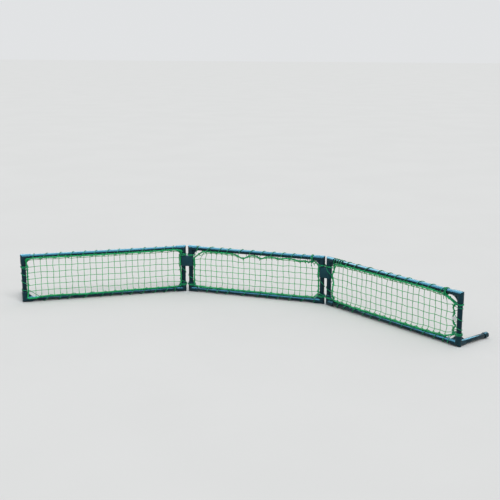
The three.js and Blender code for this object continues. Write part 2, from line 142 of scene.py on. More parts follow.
class Shader:
    """A node material being put together."""

    def __init__(self, name: str) -> None:
        """Starts an empty node material.

        Args:
            name: the material's name.
        """
        self.material = bpy.data.materials.new(name)
        self.material.use_nodes = True
        self.tree = self.material.node_tree
        self.tree.nodes.clear()

    def add(
        self, kind: str, settings: dict[str, Any], inputs: dict[Any, Any], output: int | str = 0
    ) -> Signal:
        """Adds one node of any kind.

        Args:
            kind: the node's type.
            settings: its properties, which are set first.
            inputs: values or signals by socket name or number.
            output: the name or number of the socket to return.

        Returns:
            The chosen output, or a signal without a socket where the node has none.
        """
        node = self.tree.nodes.new(kind)
        for key, value in settings.items():
            setattr(node, key, value)
        for key, value in inputs.items():
            if isinstance(value, Signal):
                self.tree.links.new(value.socket, node.inputs[key])
            else:
                node.inputs[key].default_value = value
        return Signal(self, node.outputs[output] if node.outputs else None)

    def place(self) -> Signal:
        """Gives the point on the surface in the piece's own coordinates."""
        return self.add("ShaderNodeTexCoord", {}, {}, "Object")

    def axis(self, name: str) -> Signal:
        """Gives one coordinate of the point on the surface."""
        return self.add("ShaderNodeSeparateXYZ", {}, {0: self.place()}, name)

    def noise(self, scale: float, detail: float) -> Signal:
        """Adds a noise texture.

        Args:
            scale: how many features it has to the metre.
            detail: how many finer layers it has.

        Returns:
            The noise, which keeps near 0.5.
        """
        inputs = {"Vector": self.place(), "Scale": scale, "Detail": detail}
        return self.add("ShaderNodeTexNoise", {}, inputs, "Fac")

    def mix(self, factor: Signal | float, first: Colour | Signal, second: Colour | Signal) -> Signal:
        """Blends two colours.

        Args:
            factor: 0 for the first colour and 1 for the second.
            first: a colour or signal.
            second: a colour or signal.

        Returns:
            The blended colour.
        """
        first = first if isinstance(first, Signal) else (*first, 1.0)
        second = second if isinstance(second, Signal) else (*second, 1.0)
        settings = {"data_type": "RGBA"}
        return self.add("ShaderNodeMix", settings, {0: factor, 6: first, 7: second}, 2)

    def bump(self, height: Signal, strength: float, distance: float) -> Signal:
        """Turns a height into a normal.

        Args:
            height: the height, from 0 to 1.
            strength: how strongly it shows.
            distance: the height of 1, in metres.

        Returns:
            The normal.
        """
        inputs = {"Strength": strength, "Distance": distance, "Height": height}
        return self.add("ShaderNodeBump", {}, inputs)

    def finish(self, inputs: dict[str, Any]) -> bpy.types.Material:
        """Ends the material in one Principled shader.

        Args:
            inputs: the shader's values and signals by socket name.

        Returns:
            The finished material.
        """
        shader = self.add("ShaderNodeBsdfPrincipled", {}, inputs)
        self.add("ShaderNodeOutputMaterial", {}, {"Surface": shader})
        return self.material


# ------------------------------------------------------------------ finishes


@dataclass(frozen=True)
class Pattern:
    """A noise: its features to the metre, its finer layers, and where it rises from 0 to 1 if spread."""

    scale: float
    detail: float
    low: float = 0.0
    high: float = 1.0

    def noise(self, shader: Shader) -> Signal:
        """Gives the noise as it is."""
        return shader.noise(self.scale, self.detail)

    def spread(self, noise: Signal) -> Signal:
        """Spreads the noise over 0 to 1."""
        return noise.between(self.low, self.high)


@dataclass(frozen=True)
class CoatedPipeFinish:
    """The glossy plastic coat of the pipes, faintly uneven, with dust from the ground low down.

    The gloss is the index of refraction. Clouds and scuffs dull the coat by the unevenness, and dust by
    the dullness. The skin has its height in metres, and shows by its relief.
    """

    coat: Colour = (0.003, 0.012, 0.017)
    faded: Colour = (0.005, 0.018, 0.024)
    dust: Colour = (0.2, 0.16, 0.11)
    dust_height: float = 0.03
    dust_amount: float = 0.35
    dullness: float = 0.5
    roughness: float = 0.14
    unevenness: float = 0.12
    gloss: float = 1.36
    clouds: Pattern = Pattern(9.0, 4.0, 0.35, 0.7)
    scuffs: Pattern = Pattern(160.0, 6.0, 0.56, 0.74)
    scuff_height: float = 0.25
    dusting: Pattern = Pattern(45.0, 5.0, 0.45, 0.7)
    skin: Pattern = Pattern(420.0, 2.0)
    skin_height: float = 0.00015
    relief: float = 0.25

    def material(self) -> bpy.types.Material:
        """Builds the material.

        Returns:
            The material.
        """
        shader = Shader("coated_pipe")
        cloudy = self.clouds.noise(shader)
        scuffed = self.scuffs.spread(self.scuffs.noise(shader))
        low = 1.0 - shader.axis("Z").between(0.0, self.dust_height)
        dusty = low * self.dusting.spread(self.dusting.noise(shader)) * self.dust_amount
        colour = shader.mix(self.clouds.spread(cloudy), self.coat, self.faded)
        colour = shader.mix(dusty, colour, self.dust)
        dull = cloudy * self.unevenness + scuffed * self.unevenness + dusty * self.dullness
        skin = self.skin.noise(shader) + scuffed * self.scuff_height
        return shader.finish(
            {
                "Base Color": colour,
                "Roughness": dull + self.roughness,
                "IOR": self.gloss,
                "Specular Tint": (*SKY_TINT, 1.0),
                "Normal": shader.bump(skin, self.relief, self.skin_height),
            }
        )


@dataclass(frozen=True)
class MouldedFinish:
    """Moulded plastic with the tool's fine grain and its parting line.

    The gloss is the index of refraction. Clouds dull the plastic by their dullness, and rubbed places by
    theirs. The grain has its height in metres, and shows by its relief.
    """

    name: str
    plastic: Colour
    worn: Colour
    roughness: float
    grain: float
    gloss: float
    parting_half_width: float = 0.0003
    clouds: Pattern = Pattern(22.0, 4.0, 0.3, 0.75)
    cloud_dullness: float = 0.14
    rubs: Pattern = Pattern(240.0, 5.0, 0.58, 0.72)
    rub_amount: float = 0.3
    rub_dullness: float = 0.1
    grains: Pattern = Pattern(1500.0, 2.0)
    grain_height: float = 0.0002
    relief: float = 0.6

    def material(self) -> bpy.types.Material:
        """Builds the material.

        Returns:
            The material.
        """
        shader = Shader(self.name)
        cloudy = self.clouds.noise(shader)
        rubbed = self.rubs.spread(self.rubs.noise(shader))
        depth = shader.add("ShaderNodeAttribute", {"attribute_name": MOULD_DEPTH}, {}, "Fac")
        line = 1.0 - depth.size().between(0.0, self.parting_half_width)
        colour = shader.mix(self.clouds.spread(cloudy), self.plastic, self.worn)
        colour = shader.mix(rubbed * self.rub_amount, colour, self.worn)
        surface = self.grains.noise(shader) * self.grain + line
        return shader.finish(
            {
                "Base Color": colour,
                "Roughness": cloudy * self.cloud_dullness + rubbed * self.rub_dullness + self.roughness,
                "IOR": self.gloss,
                "Specular Tint": (*SKY_TINT, 1.0),
                "Normal": shader.bump(surface, self.relief, self.grain_height),
            }
        )


@dataclass(frozen=True)
class TwistedFinish:
    """Green polyethylene yarn: clouded from shade to body colour, with fine streaks of lighter filament.

    The filaments have their height in metres, and show by their relief.
    """

    name: str
    shade: Colour
    body: Colour
    light: Colour
    roughness: float = 0.62
    unevenness: float = 0.25
    specular: float = 0.08
    sheen: float = 0.1
    sheen_roughness: float = 0.5
    patches: Pattern = Pattern(14.0, 3.0, 0.3, 0.72)
    filaments: Pattern = Pattern(1400.0, 3.0, 0.5, 0.72)
    streak: float = 0.6
    filament_height: float = 0.0003
    relief: float = 0.7

    def material(self) -> bpy.types.Material:
        """Builds the material.

        Returns:
            The material.
        """
        shader = Shader(self.name)
        patchy = self.patches.spread(self.patches.noise(shader))
        filaments = self.filaments.noise(shader)
        colour = shader.mix(patchy, self.shade, self.body)
        colour = shader.mix(self.filaments.spread(filaments) * self.streak, colour, self.light)
        return shader.finish(
            {
                "Base Color": colour,
                "Roughness": filaments * self.unevenness + self.roughness,
                "Specular IOR Level": self.specular,
                "Sheen Weight": self.sheen,
                "Sheen Roughness": self.sheen_roughness,
                "Normal": shader.bump(filaments, self.relief, self.filament_height),
            }
        )


@dataclass(frozen=True)
class WovenLabelFinish:
    """Plain white woven tape, a little soiled, whose threads are smoother than the gaps between them. The
    gaps are painted darker as shade, and the soil takes that darker colour too.
    """

    thread: Colour = (0.78, 0.79, 0.77)
    # Painted shade in the gaps between the threads, and also the colour of the soil.
    gap_shade_and_soil: Colour = (0.6, 0.61, 0.6)
    threads_to_metre: float = 2600.0
    roughness: float = 0.8
    smoothness: float = 0.1
    sheen: float = 0.2
    soil: Pattern = Pattern(120.0, 4.0, 0.45, 0.8)
    soil_amount: float = 0.25
    weave_height: float = 0.0001
    relief: float = 0.4

    def material(self) -> bpy.types.Material:
        """Builds the material.

        Returns:
            The material.
        """
        shader = Shader("woven_label")
        phase = self.threads_to_metre * math.tau
        across = shader.axis("X") + shader.axis("Y")
        warp = (across * phase).sine().size()
        weft = (shader.axis("Z") * phase).sine().size()
        weave = warp * weft
        soiled = self.soil.spread(self.soil.noise(shader))
        # Painted shade: where the weave dips between threads, the colour darkens towards the gap colour.
        colour = shader.mix(weave, self.gap_shade_and_soil, self.thread)
        colour = shader.mix(soiled * self.soil_amount, colour, self.gap_shade_and_soil)
        return shader.finish(
            {
                "Base Color": colour,
                "Roughness": self.roughness - weave * self.smoothness,
                "Sheen Weight": self.sheen,
                "Normal": shader.bump(weave, self.relief, self.weave_height),
            }
        )


@dataclass(frozen=True)
class FloorFinish:
    """A plain, pale, dull floor, faintly clouded."""

    paint: Colour = (0.76, 0.76, 0.75)
    cloud: Colour = (0.71, 0.71, 0.7)
    roughness: float = 0.9
    clouds: Pattern = Pattern(1.3, 3.0, 0.3, 0.7)
    cloud_amount: float = 0.25
    grains: Pattern = Pattern(220.0, 2.0)
    grain_height: float = 0.0005
    relief: float = 0.15

    def material(self) -> bpy.types.Material:
        """Builds the material.

        Returns:
            The material.
        """
        shader = Shader("pale_floor")
        cloudy = self.clouds.spread(self.clouds.noise(shader))
        return shader.finish(
            {
                "Base Color": shader.mix(cloudy * self.cloud_amount, self.paint, self.cloud),
                "Roughness": self.roughness,
                "Specular IOR Level": 0.0,
                "Normal": shader.bump(self.grains.noise(shader), self.relief, self.grain_height),
            }
        )


class Dressing(Enum):
    """The finishes of the fence's pieces, each with its slot in the record."""

    PIPE = ("pipe", CoatedPipeFinish())
    FITTING = (
        "fitting",
        MouldedFinish("moulded_fitting", (0.005, 0.018, 0.024), (0.010, 0.030, 0.038), 0.2, 0.12, 1.36),
    )
    BLOCK = (
        "block",
        MouldedFinish("moulded_block", (0.011, 0.04, 0.05), (0.016, 0.048, 0.058), 0.5, 0.5, 1.2),
    )
    NET = (
        "net",
        TwistedFinish("net_twine", (0.003, 0.35, 0.07), (0.008, 0.45, 0.1), (0.04, 0.6, 0.2)),
    )
    ROPE = (
        "rope",
        TwistedFinish("border_rope", (0.004, 0.29, 0.085), (0.01, 0.4, 0.13), (0.045, 0.54, 0.22)),
    )
    CORD = (
        "cord",
        TwistedFinish("lacing_cord", (0.004, 0.24, 0.09), (0.01, 0.33, 0.13), (0.04, 0.46, 0.2)),
    )
    LABEL = ("label", WovenLabelFinish())

    def __init__(self, slot: str, finish: Any) -> None:
        """Keeps the slot and makes the material once."""
        self.slot = slot
        self.material = finish.material()


# ------------------------------------------------------------------ placing and delivering


def middle_of(node: str) -> Vector:
    """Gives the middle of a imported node's box."""
    low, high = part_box(node)
    return (low + high) / 2


def facing(direction: Vector, axis: str = "Z", up: str = "Y") -> Matrix:
    """Gives the turn that points one of an object's axes along a direction."""
    return direction.to_track_quat(axis, up).to_matrix().to_4x4()


def put(name: str, data: Any) -> bpy.types.Object:
    """Puts an object into the scene.

    Args:
        name: the object's name.
        data: its mesh, curve, light or camera.

    Returns:
        The object.
    """
    made = bpy.data.objects.new(name, data)
    bpy.context.scene.collection.objects.link(made)
    return made


def push(bm: bmesh.types.BMesh, extruded: dict[str, Any], by: Sequence[float]) -> None:
    """Moves the vertices that an extrusion has made."""
    verts = [v for v in extruded["geom"] if isinstance(v, bmesh.types.BMVert)]
    bmesh.ops.translate(bm, verts=verts, vec=by)


def round_rims(bm: bmesh.types.BMesh, radius: float, segments: int) -> None:
    """Turns all faces outwards and rounds the rims between them.

    Args:
        bm: the bmesh.
        radius: how far the rounding reaches from each rim.
        segments: how many steps it has.
    """
    bmesh.ops.recalc_face_normals(bm, faces=bm.faces[:])
    rims = [e for e in bm.edges if e.calc_face_angle() > RIM_ANGLE]
    shape = {"offset": radius, "segments": segments, "profile": 0.5}
    bmesh.ops.bevel(bm, geom=rims, affect="EDGES", material=-1, **shape)


def mark_depth(bm: bmesh.types.BMesh, axis: int) -> None:
    """Writes how far each vertex of a moulding lies from its parting plane.

    Args:
        bm: the moulding.
        axis: the axis that crosses the plane, by number.
    """
    depth = bm.verts.layers.float.new(MOULD_DEPTH)
    for vert in bm.verts:
        vert[depth] = vert.co[axis]


@dataclass(frozen=True)
class FramePlan:
    """Where one pipe frame stands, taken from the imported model."""

    name: str
    matrix: Matrix
    span: float
    bottom: float
    top: float
    socket_depth: float

    @classmethod
    def packed(cls, name: str) -> FramePlan:
        """Reads one frame's plan.

        Args:
            name: left, middle or right.

        Returns:
            The plan of that frame.
        """
        left = middle_of(f"{name}_left_post")
        right = middle_of(f"{name}_right_post")
        along = (right - left).normalized()
        turn = Matrix((along, UP.cross(along), UP)).transposed().to_4x4()
        matrix = Matrix.Translation((left.x, left.y, 0.0)) @ turn
        bottom = middle_of(f"{name}_bottom_rail").z
        top = middle_of(f"{name}_top_rail").z
        socket_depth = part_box(f"{name}_left_post")[0].z - bottom
        return cls(name, matrix, (right - left).length, bottom, top, socket_depth)

    @property
    def body(self) -> str:
        """The body that the frame's pieces ride on."""
        return f"{self.name}_frame"

    def own(self, point: Vector) -> Vector:
        """Gives a point of the row frame in the frame's own coordinates."""
        return self.matrix.inverted() @ point


def close_mesh(bm: bmesh.types.BMesh, name: str) -> bpy.types.Mesh:
    """Ends a bmesh as a smooth-shaded mesh whose hard edges stay hard.

    Args:
        bm: the bmesh, which is freed.
        name: the mesh's name.

    Returns:
        The mesh.
    """
    for face in bm.faces:
        face.smooth = True
    for edge in bm.edges:
        edge.smooth = len(edge.link_faces) == 2 and edge.calc_face_angle() < HARD_ANGLE
    mesh = bpy.data.meshes.new(name)
    bm.to_mesh(mesh)
    bm.free()
    return mesh


def deliver(
    name: str, mesh: bpy.types.Mesh, dressing: Dressing, body: str, *nodes: str
) -> bpy.types.Object:
    """Puts a finished mesh into the scene as one piece of the fence.

    Args:
        name: the piece's name.
        mesh: its mesh, in the row frame.
        dressing: its finish.
        body: the body that it rides on.
        nodes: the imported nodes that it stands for.

    Returns:
        The piece.
    """
    piece = put(name, mesh)
    mesh.materials.clear()
    mesh.materials.append(dressing.material)
    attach(piece, body)
    if nodes:
        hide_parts(*nodes)
    log.info("%s: %d faces on %s", name, len(mesh.polygons), body)
    return piece


def evaluated(mesh: bpy.types.Mesh, modify: Callable[[bpy.types.Object], None]) -> bpy.types.Mesh:
    """Runs modifiers on a mesh.

    Args:
        mesh: the mesh to start from.
        modify: adds the modifiers to an object that holds the mesh.

    Returns:
        The modified mesh, with no modifier left.
    """
    holder = put("holder", mesh)
    modify(holder)
    graph = bpy.context.evaluated_depsgraph_get()
    result = bpy.data.meshes.new_from_object(holder.evaluated_get(graph))
    bpy.data.objects.remove(holder)
    return result


def join(mesh: bpy.types.Mesh, other: bpy.types.Mesh) -> None:
    """Adds another mesh to a mesh.

    Args:
        mesh: the mesh that grows.
        other: the mesh that is added.
    """
    bm = bmesh.new()
    bm.from_mesh(mesh)
    bm.from_mesh(other)
    bm.to_mesh(mesh)
    bm.free()


# ------------------------------------------------------------------ pipes, caps and mouldings


@dataclass
class PipeStock:
    """The coated pipe that rails, posts and feet are cut from."""

    radius: float = 0.014
    wall: float = 0.0018
    edge: float = 0.0004
    sides: int = 48

    def cut(self, name: str, start: Vector, end: Vector) -> bpy.types.Mesh:
        """Cuts one length of pipe.

        Args:
            name: the mesh's name.
            start: the middle of its first end.
            end: the middle of its other end.

        Returns:
            The pipe, hollow and open at both ends.
        """
        bm = bmesh.new()
        for radius in (self.radius, self.radius - self.wall):
            bmesh.ops.create_circle(bm, segments=self.sides, radius=radius)
        bmesh.ops.bridge_loops(bm, edges=bm.edges[:])
        push(bm, bmesh.ops.extrude_face_region(bm, geom=bm.faces[:]), UP * (end - start).length)
        round_rims(bm, self.edge, 2)
        place = Matrix.Translation(start) @ facing(end - start)
        bmesh.ops.transform(bm, matrix=place, verts=bm.verts[:])
        return close_mesh(bm, name)


@dataclass
class FootCap:
    """The moulded cup on the end of a foot pipe, with a lip at its mouth."""

    radius: float = 0.017
    bore: float = BORE
    length: float = 0.030
    floor: float = 0.005
    lip: float = 0.004
    neck: float = 0.0008
    edge: float = 0.0045
    sides: int = 48
    edge_steps: int = 5

    def mould(self, name: str) -> bpy.types.Mesh:
        """Spins the cap about Z, its mouth at the origin and its closed end up.

        Args:
            name: the mesh's name.

        Returns:
            The cap.
        """
        body = self.radius - self.neck
        inside = self.length - self.floor
        profile = [(0.0, inside), (self.bore, inside), (self.bore, 0.0), (body, 0.0)]
        profile += [(self.radius, self.neck), (self.radius, self.lip), (body, self.lip + self.neck)]
        for step in range(self.edge_steps + 1):
            angle = math.pi / 2 * step / self.edge_steps
            out = body - self.edge * (1 - math.cos(angle))
            profile.append((out, self.length - self.edge * (1 - math.sin(angle))))
        profile.append((0.0, self.length))
        bm = bmesh.new()
        ring = [bm.verts.new((x, 0.0, z)) for x, z in profile]
        edges = [bm.edges.new(pair) for pair in zip(ring, ring[1:])]
        turn = {"axis": UP, "cent": (0, 0, 0), "angle": math.tau, "steps": self.sides}
        bmesh.ops.spin(bm, geom=ring + edges, use_merge=True, **turn)
        bmesh.ops.remove_doubles(bm, verts=bm.verts[:], dist=TOUCHING)
        bmesh.ops.recalc_face_normals(bm, faces=bm.faces[:])
        mark_depth(bm, 0)
        return close_mesh(bm, name)


@dataclass
class CornerFitting:
    """A moulded elbow: sockets for rail and post, a web in each inside corner, a softened outer corner.

    The web is drawn in by its hollow between its ends, which stop short of the sockets' mouths.
    """

    radius: float = 0.017
    bore: float = BORE
    leg: float = 0.046
    socket_floor: float = 0.019
    web: float = 0.006
    web_hollow: float = 0.0045
    web_short: float = 0.001
    voxel: float = 0.0011
    softening: int = 7
    sides: int = 64
    web_steps: int = 10
    meshes: dict[bool, bpy.types.Mesh] = field(default_factory=dict)

    def _bar(self, bm: bmesh.types.BMesh, radius: float, axis: Vector, start: float, end: float) -> None:
        """Adds a round bar along an axis.

        Args:
            bm: the bmesh that it goes into.
            radius: the bar's radius.
            axis: its direction.
            start: where it starts along the axis.
            end: where it ends.
        """
        place = Matrix.Translation(axis * ((start + end) / 2)) @ facing(axis)
        ends = {"radius1": radius, "radius2": radius, "depth": end - start}
        bmesh.ops.create_cone(bm, cap_ends=True, segments=self.sides, matrix=place, **ends)

    def _web(self, bm: bmesh.types.BMesh, first: Vector, second: Vector) -> None:
        """Adds the web between two legs, its edge drawn in towards the corner.

        Args:
            bm: the bmesh that it goes into.
            first: the direction of one leg.
            second: the direction of the other.
        """
        near, far = self.radius, self.leg - self.web_short
        hollow = (self.leg + self.radius) / 2 - self.web_hollow
        outline = [(0.0, 0.0), (far, 0.0)]
        for step in range(self.web_steps + 1):
            t = step / self.web_steps
            first_end, second_end = (1 - t) ** 2, t**2
            middle = 2 * t * (1 - t) * hollow
            along = first_end * far + middle + second_end * near
            outline.append((along, first_end * near + middle + second_end * far))
        outline.append((0.0, far))
        side = first.cross(second) * (self.web / 2)
        ring = [bm.verts.new(first * a + second * b - side) for a, b in outline]
        push(bm, bmesh.ops.extrude_face_region(bm, geom=[bm.faces.new(ring)]), side * 2)

    def _solid(self, name: str, bars: Sequence[tuple[float, Vector, float, float]]) -> bpy.types.Object:
        """Makes a helper solid for a boolean.

        Args:
            name: the helper's name.
            bars: the radius, axis, start and end of each of its round bars.

        Returns:
            The helper, which is removed when the fitting is done.
        """
        bm = bmesh.new()
        for bar in bars:
            self._bar(bm, *bar)
        bmesh.ops.recalc_face_normals(bm, faces=bm.faces[:])
        return put(name, close_mesh(bm, name))

    def mould(self, has_foot: bool) -> bpy.types.Mesh:
        """Moulds the elbow at the origin, its legs along +X and +Z and, for a foot, along +Y.

        Args:
            has_foot: whether it has the third leg.

        Returns:
            The fitting. The same mesh comes back each time.
        """
        if has_foot in self.meshes:
            return self.meshes[has_foot]
        rail, foot, post = Vector((1, 0, 0)), Vector((0, 1, 0)), UP
        legs = [rail, post] + ([foot] if has_foot else [])
        pairs = [(rail, post)] + ([(rail, foot), (foot, post)] if has_foot else [])
        mitre = self._solid("mitre", [(self.radius, post, -self.radius, self.radius)])
        block = self._solid("corner", [(self.radius, rail, -self.radius, self.radius)])
        cut = block.modifiers.new("mitre", "BOOLEAN")
        cut.operation, cut.object, cut.solver = "INTERSECT", mitre, "EXACT"
        graph = bpy.context.evaluated_depsgraph_get()
        bm = bmesh.new()
        bm.from_object(block, graph)
        for leg in legs:
            self._bar(bm, self.radius, leg, 0.0, self.leg)
        for pair in pairs:
            self._web(bm, *pair)
        bmesh.ops.recalc_face_normals(bm, faces=bm.faces[:])
        rough = close_mesh(bm, "rough_fitting")
        mouth = self.leg + self.radius
        sockets = self._solid("sockets", [(self.bore, leg, self.socket_floor, mouth) for leg in legs])

        def shape(holder: bpy.types.Object) -> None:
            """Melts the bars and webs together, softens them and bores the sockets.

            Args:
                holder: the object with the bars and webs.
            """
            melt = holder.modifiers.new("melt", "REMESH")
            melt.mode, melt.voxel_size, melt.use_smooth_shade = "VOXEL", self.voxel, True
            soften = holder.modifiers.new("soften", "SMOOTH")
            soften.factor, soften.iterations = 0.5, self.softening
            bore = holder.modifiers.new("bore", "BOOLEAN")
            bore.operation, bore.object, bore.solver = "DIFFERENCE", sockets, "EXACT"

        mesh = evaluated(rough, shape)
        for helper in (mitre, block, sockets):
            bpy.data.objects.remove(helper)
        depth = mesh.attributes.new(MOULD_DEPTH, "FLOAT", "POINT")
        depth.data.foreach_set("value", [v.co.y for v in mesh.vertices])
        self.meshes[has_foot] = mesh
        return mesh


@dataclass
class HingeBlock:
    """The double sleeve in which two neighbouring posts turn."""

    name: str
    body: str
    near_post: str
    far_post: str
    radius: float = 0.0168
    bore: float = BORE
    edge: float = 0.0014
    sides: int = 64

    def build(self) -> bpy.types.Object:
        """Moulds the block round both posts.

        Returns:
            The piece.
        """
        low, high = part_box(self.name)
        near, far = middle_of(self.near_post), middle_of(self.far_post)
        along = Vector((far.x - near.x, far.y - near.y, 0.0))
        bm = bmesh.new()
        outline = bmesh.ops.create_circle(bm, segments=self.sides, radius=self.radius)["verts"]
        for vert in outline:
            if vert.co.x > 0:
                vert.co.x += along.length
        for place in (0.0, along.length):
            shift = Matrix.Translation((place, 0.0, 0.0))
            bmesh.ops.create_circle(bm, segments=self.sides, radius=self.bore, matrix=shift)
        bmesh.ops.triangle_fill(bm, edges=bm.edges[:], use_beauty=True, use_dissolve=False)
        push(bm, bmesh.ops.extrude_face_region(bm, geom=bm.faces[:]), UP * (high.z - low.z))
        round_rims(bm, self.edge, 3)
        mark_depth(bm, 1)
        place = Matrix.Translation((near.x, near.y, low.z)) @ facing(along, "X", "Z")
        bmesh.ops.transform(bm, matrix=place, verts=bm.verts[:])
        mesh = close_mesh(bm, f"{self.name}_moulding")
        return deliver(mesh.name, mesh, Dressing.BLOCK, self.body, self.name)


# ------------------------------------------------------------------ ropes and cords

# A direction that no cord of the fence follows, so that its cross product with one is never nothing.
AWRY = (0.31, 0.52, 0.79)
# The same for what a knot winds round, which always lies nearly in its frame's plane.
NEARLY_BACK = Vector((0.2, 1.0, 0.1))


def smooth_line(points: Sequence[Vector], step: float, closed: bool, samples: int = 8) -> np.ndarray:
    """Draws one smooth curve through points and walks along it.

    Args:
        points: what the curve passes through.
        step: the distance between the points that come back.
        closed: whether it comes round to its start.
        samples: how many pieces each stretch between two points is measured in.

    Returns:
        Points along the curve, evenly spaced, one row each.
    """
    given = np.array([tuple(p) for p in points])
    if closed:
        given = np.vstack([given[-1], given, given[0], given[1]])
    else:
        given = np.vstack([2 * given[0] - given[1], given, 2 * given[-1] - given[-2]])
    fine = np.linspace(0, 1, samples, endpoint=False)[:, None]
    rows = []
    for p0, p1, p2, p3 in zip(given, given[1:], given[2:], given[3:]):
        bend = 2 * p1 + (p2 - p0) * fine + (2 * p0 - 5 * p1 + 4 * p2 - p3) * fine**2
        rows.append(0.5 * (bend + (3 * p1 - p0 - 3 * p2 + p3) * fine**3))
    curve = np.vstack(rows + [given[-2][None]])
    reach = np.concatenate([[0], np.cumsum(np.linalg.norm(np.diff(curve, axis=0), axis=1))])
    count = max(4, round(reach[-1] / step))
    places = np.linspace(0, reach[-1], count, endpoint=not closed)
    return np.column_stack([np.interp(places, reach, curve[:, k]) for k in range(3)])


@dataclass
class Cordage:
    """Yarn, cord or rope laid up from plies that wind round each other.

    A ply winds round once in each lay. The step is the distance between the points of its line, and the
    roundness that of its section.
    """

    diameter: float
    plies: int
    lay: float
    step: float
    roundness: int = 1

    @property
    def radius(self) -> float:
        """Half of the diameter over the plies."""
        return self.diameter / 2

    def _across(self, line: np.ndarray, closed: bool) -> tuple[np.ndarray, np.ndarray, float]:
        """Carries a pair of directions along a line without twisting them.

        Args:
            line: points along the middle of the cord.
            closed: whether it comes round to its start.

        Returns:
            Both directions at each point, and the angle by which a closed line fails to meet itself.
        """
        ahead = np.roll(line, -1, axis=0) - np.roll(line, 1, axis=0)
        if not closed:
            ahead[0], ahead[-1] = line[1] - line[0], line[-1] - line[-2]
        ahead /= np.linalg.norm(ahead, axis=1)[:, None]
        normal = np.cross(ahead[0], AWRY)
        normals = []
        for way in ahead:
            normal = normal - way * normal.dot(way)
            normal /= np.linalg.norm(normal)
            normals.append(normal)
        first = np.array(normals)
        second = np.cross(ahead, first)
        back = first[-1] - ahead[0] * first[-1].dot(ahead[0])
        slip = math.atan2(back.dot(second[0]), back.dot(first[0])) if closed else 0.0
        return first, second, slip

    def lay_up(self, points: Sequence[Vector], closed: bool = False) -> list[np.ndarray]:
        """Winds the plies along a route.

        Args:
            points: the route of the cord's middle.
            closed: whether it comes round to its start.

        Returns:
            The middle line of each ply.
        """
        line = smooth_line(points, self.step, closed)
        if self.plies == 1:
            return [line]
        first, second, slip = self._across(line, closed)
        turns = len(line) * self.step / self.lay
        twist = math.tau * round(turns) - slip if closed else math.tau * turns
        share = np.arange(len(line)) / len(line)
        offset = self.radius - self.ply_radius
        laid = []
        for ply in range(self.plies):
            angle = share * twist + math.tau * ply / self.plies
            swing = first * np.cos(angle)[:, None] + second * np.sin(angle)[:, None]
            laid.append(line + swing * offset)
        return laid

    @property
    def ply_radius(self) -> float:
        """The radius of one ply, so that plies touch and fill the diameter.

        Returns:
            The radius, which is the cord's own where it has a single ply.
        """
        if self.plies == 1:
            return self.radius
        touch = math.sin(math.pi / self.plies)
        return self.radius * touch / (1 + touch)

    def mesh(self, name: str, lines: Sequence[np.ndarray], closed: bool, matrix: Matrix) -> bpy.types.Mesh:
        """Sweeps round tubes along lines.

        Args:
            name: the mesh's name.
            lines: the middle line of each tube.
            closed: whether the lines come round to their start.
            matrix: from the lines' coordinates to the row frame.

        Returns:
            All the tubes in one mesh.
        """
        curve = bpy.data.curves.new(name, "CURVE")
        curve.dimensions = "3D"
        curve.bevel_depth = self.ply_radius
        curve.bevel_resolution = self.roundness
        curve.use_fill_caps = not closed
        for line in lines:
            spline = curve.splines.new("POLY")
            spline.points.add(len(line) - 1)
            spline.points.foreach_set("co", np.column_stack([line, np.ones(len(line))]).ravel())
            spline.use_cyclic_u = closed
            spline.use_smooth = True
        holder = put(name, curve)
        graph = bpy.context.evaluated_depsgraph_get()
        mesh = bpy.data.meshes.new_from_object(holder.evaluated_get(graph))
        bpy.data.objects.remove(holder)
        mesh.transform(matrix)
        mesh.name = name
        return mesh


class Corner(Enum):
    """How the border rope takes a corner of the frame."""

    CUT = "past the web's edge"
    OVER = "in front of the web"


class Edge(Enum):
    """The four sides of a frame, in the order in which the lacing goes round them."""

    TOP = "top"
    RIGHT = "right"
    BOTTOM = "bottom"
    LEFT = "left"

    @property
    def is_rail(self) -> bool:
        """Whether places along it are counted from the left rather than from the ground."""
        return self in (Edge.TOP, Edge.BOTTOM)

    @property
    def sign(self) -> int:
        """Whether those places grow or shrink on the way round."""
        return 1 if self in (Edge.TOP, Edge.LEFT) else -1


@dataclass(frozen=True)
class Slack:
    """A place where the border rope hangs away from its pipe: where, how far, and over what length."""

    at: float
    depth: float
    width: float = 0.03


@dataclass(frozen=True)
class Tie:
    """A place where the lacing cord goes round several times, and is knotted if it starts or ends there."""

    at: float
    turns: int = 3
    knotted: bool = False


@dataclass(frozen=True)
class Side:
    """What runs along one side of a frame.

    The rope keeps its inset from the pipe and leans to the front of it by an angle, which is given at a
    few places along the side and changes evenly between them. The wraps are the places where the lacing
    goes round. The corner is the one that follows, and the reach is the least distance from it at which
    the rope leaves this side and comes to the next.
    """

    inset: float
    wraps: tuple[float, ...]
    slacks: tuple[Slack, ...] = ()
    corner: Corner = Corner.CUT
    reach: tuple[float, float] = (0.0, 0.0)
    leans: tuple[tuple[float, float], ...] = ((0.0, 0.0),)
    ties: tuple[Tie, ...] = ()

    def distance(self, at: float) -> float:
        """Gives the distance between the middles of pipe and rope.

        Args:
            at: how far along the side, from the left or from the ground.

        Returns:
            The distance.
        """
        total = self.inset
        for slack in self.slacks:
            near = 1 - abs(at - slack.at) / slack.width
            if near > 0:
                total += slack.depth * near * near * (3 - 2 * near)
        return total

    def lean(self, at: float) -> float:
        """Gives the angle by which the rope leans to the front of its pipe."""
        places, angles = zip(*self.leans)
        return float(np.interp(at, places, angles))


@dataclass(frozen=True)
class KnotShape:
    """How strands take hold of the border rope, and how their knots are wound.

    The loop goes round the rope from its start over its sweep, in degrees from the way into the net, as
    far out as the rope and its grip of the twine, and its two ends leave at the front and back reach. The
    knot on a strand stands at the rope's reach. A knot has its steps to the turn and is its spread long,
    in radii.
    """

    loop_start: float = 35.0
    loop_sweep: float = 290.0
    loop_steps: int = 7
    loop_grip: float = 0.8
    front_reach: float = 0.006
    back_reach: float = 0.005
    rope_reach: float = 0.0062
    rope_radius: float = 0.0016
    mesh_radius: float = 0.0019
    steps: int = 7
    spread: float = 1.6


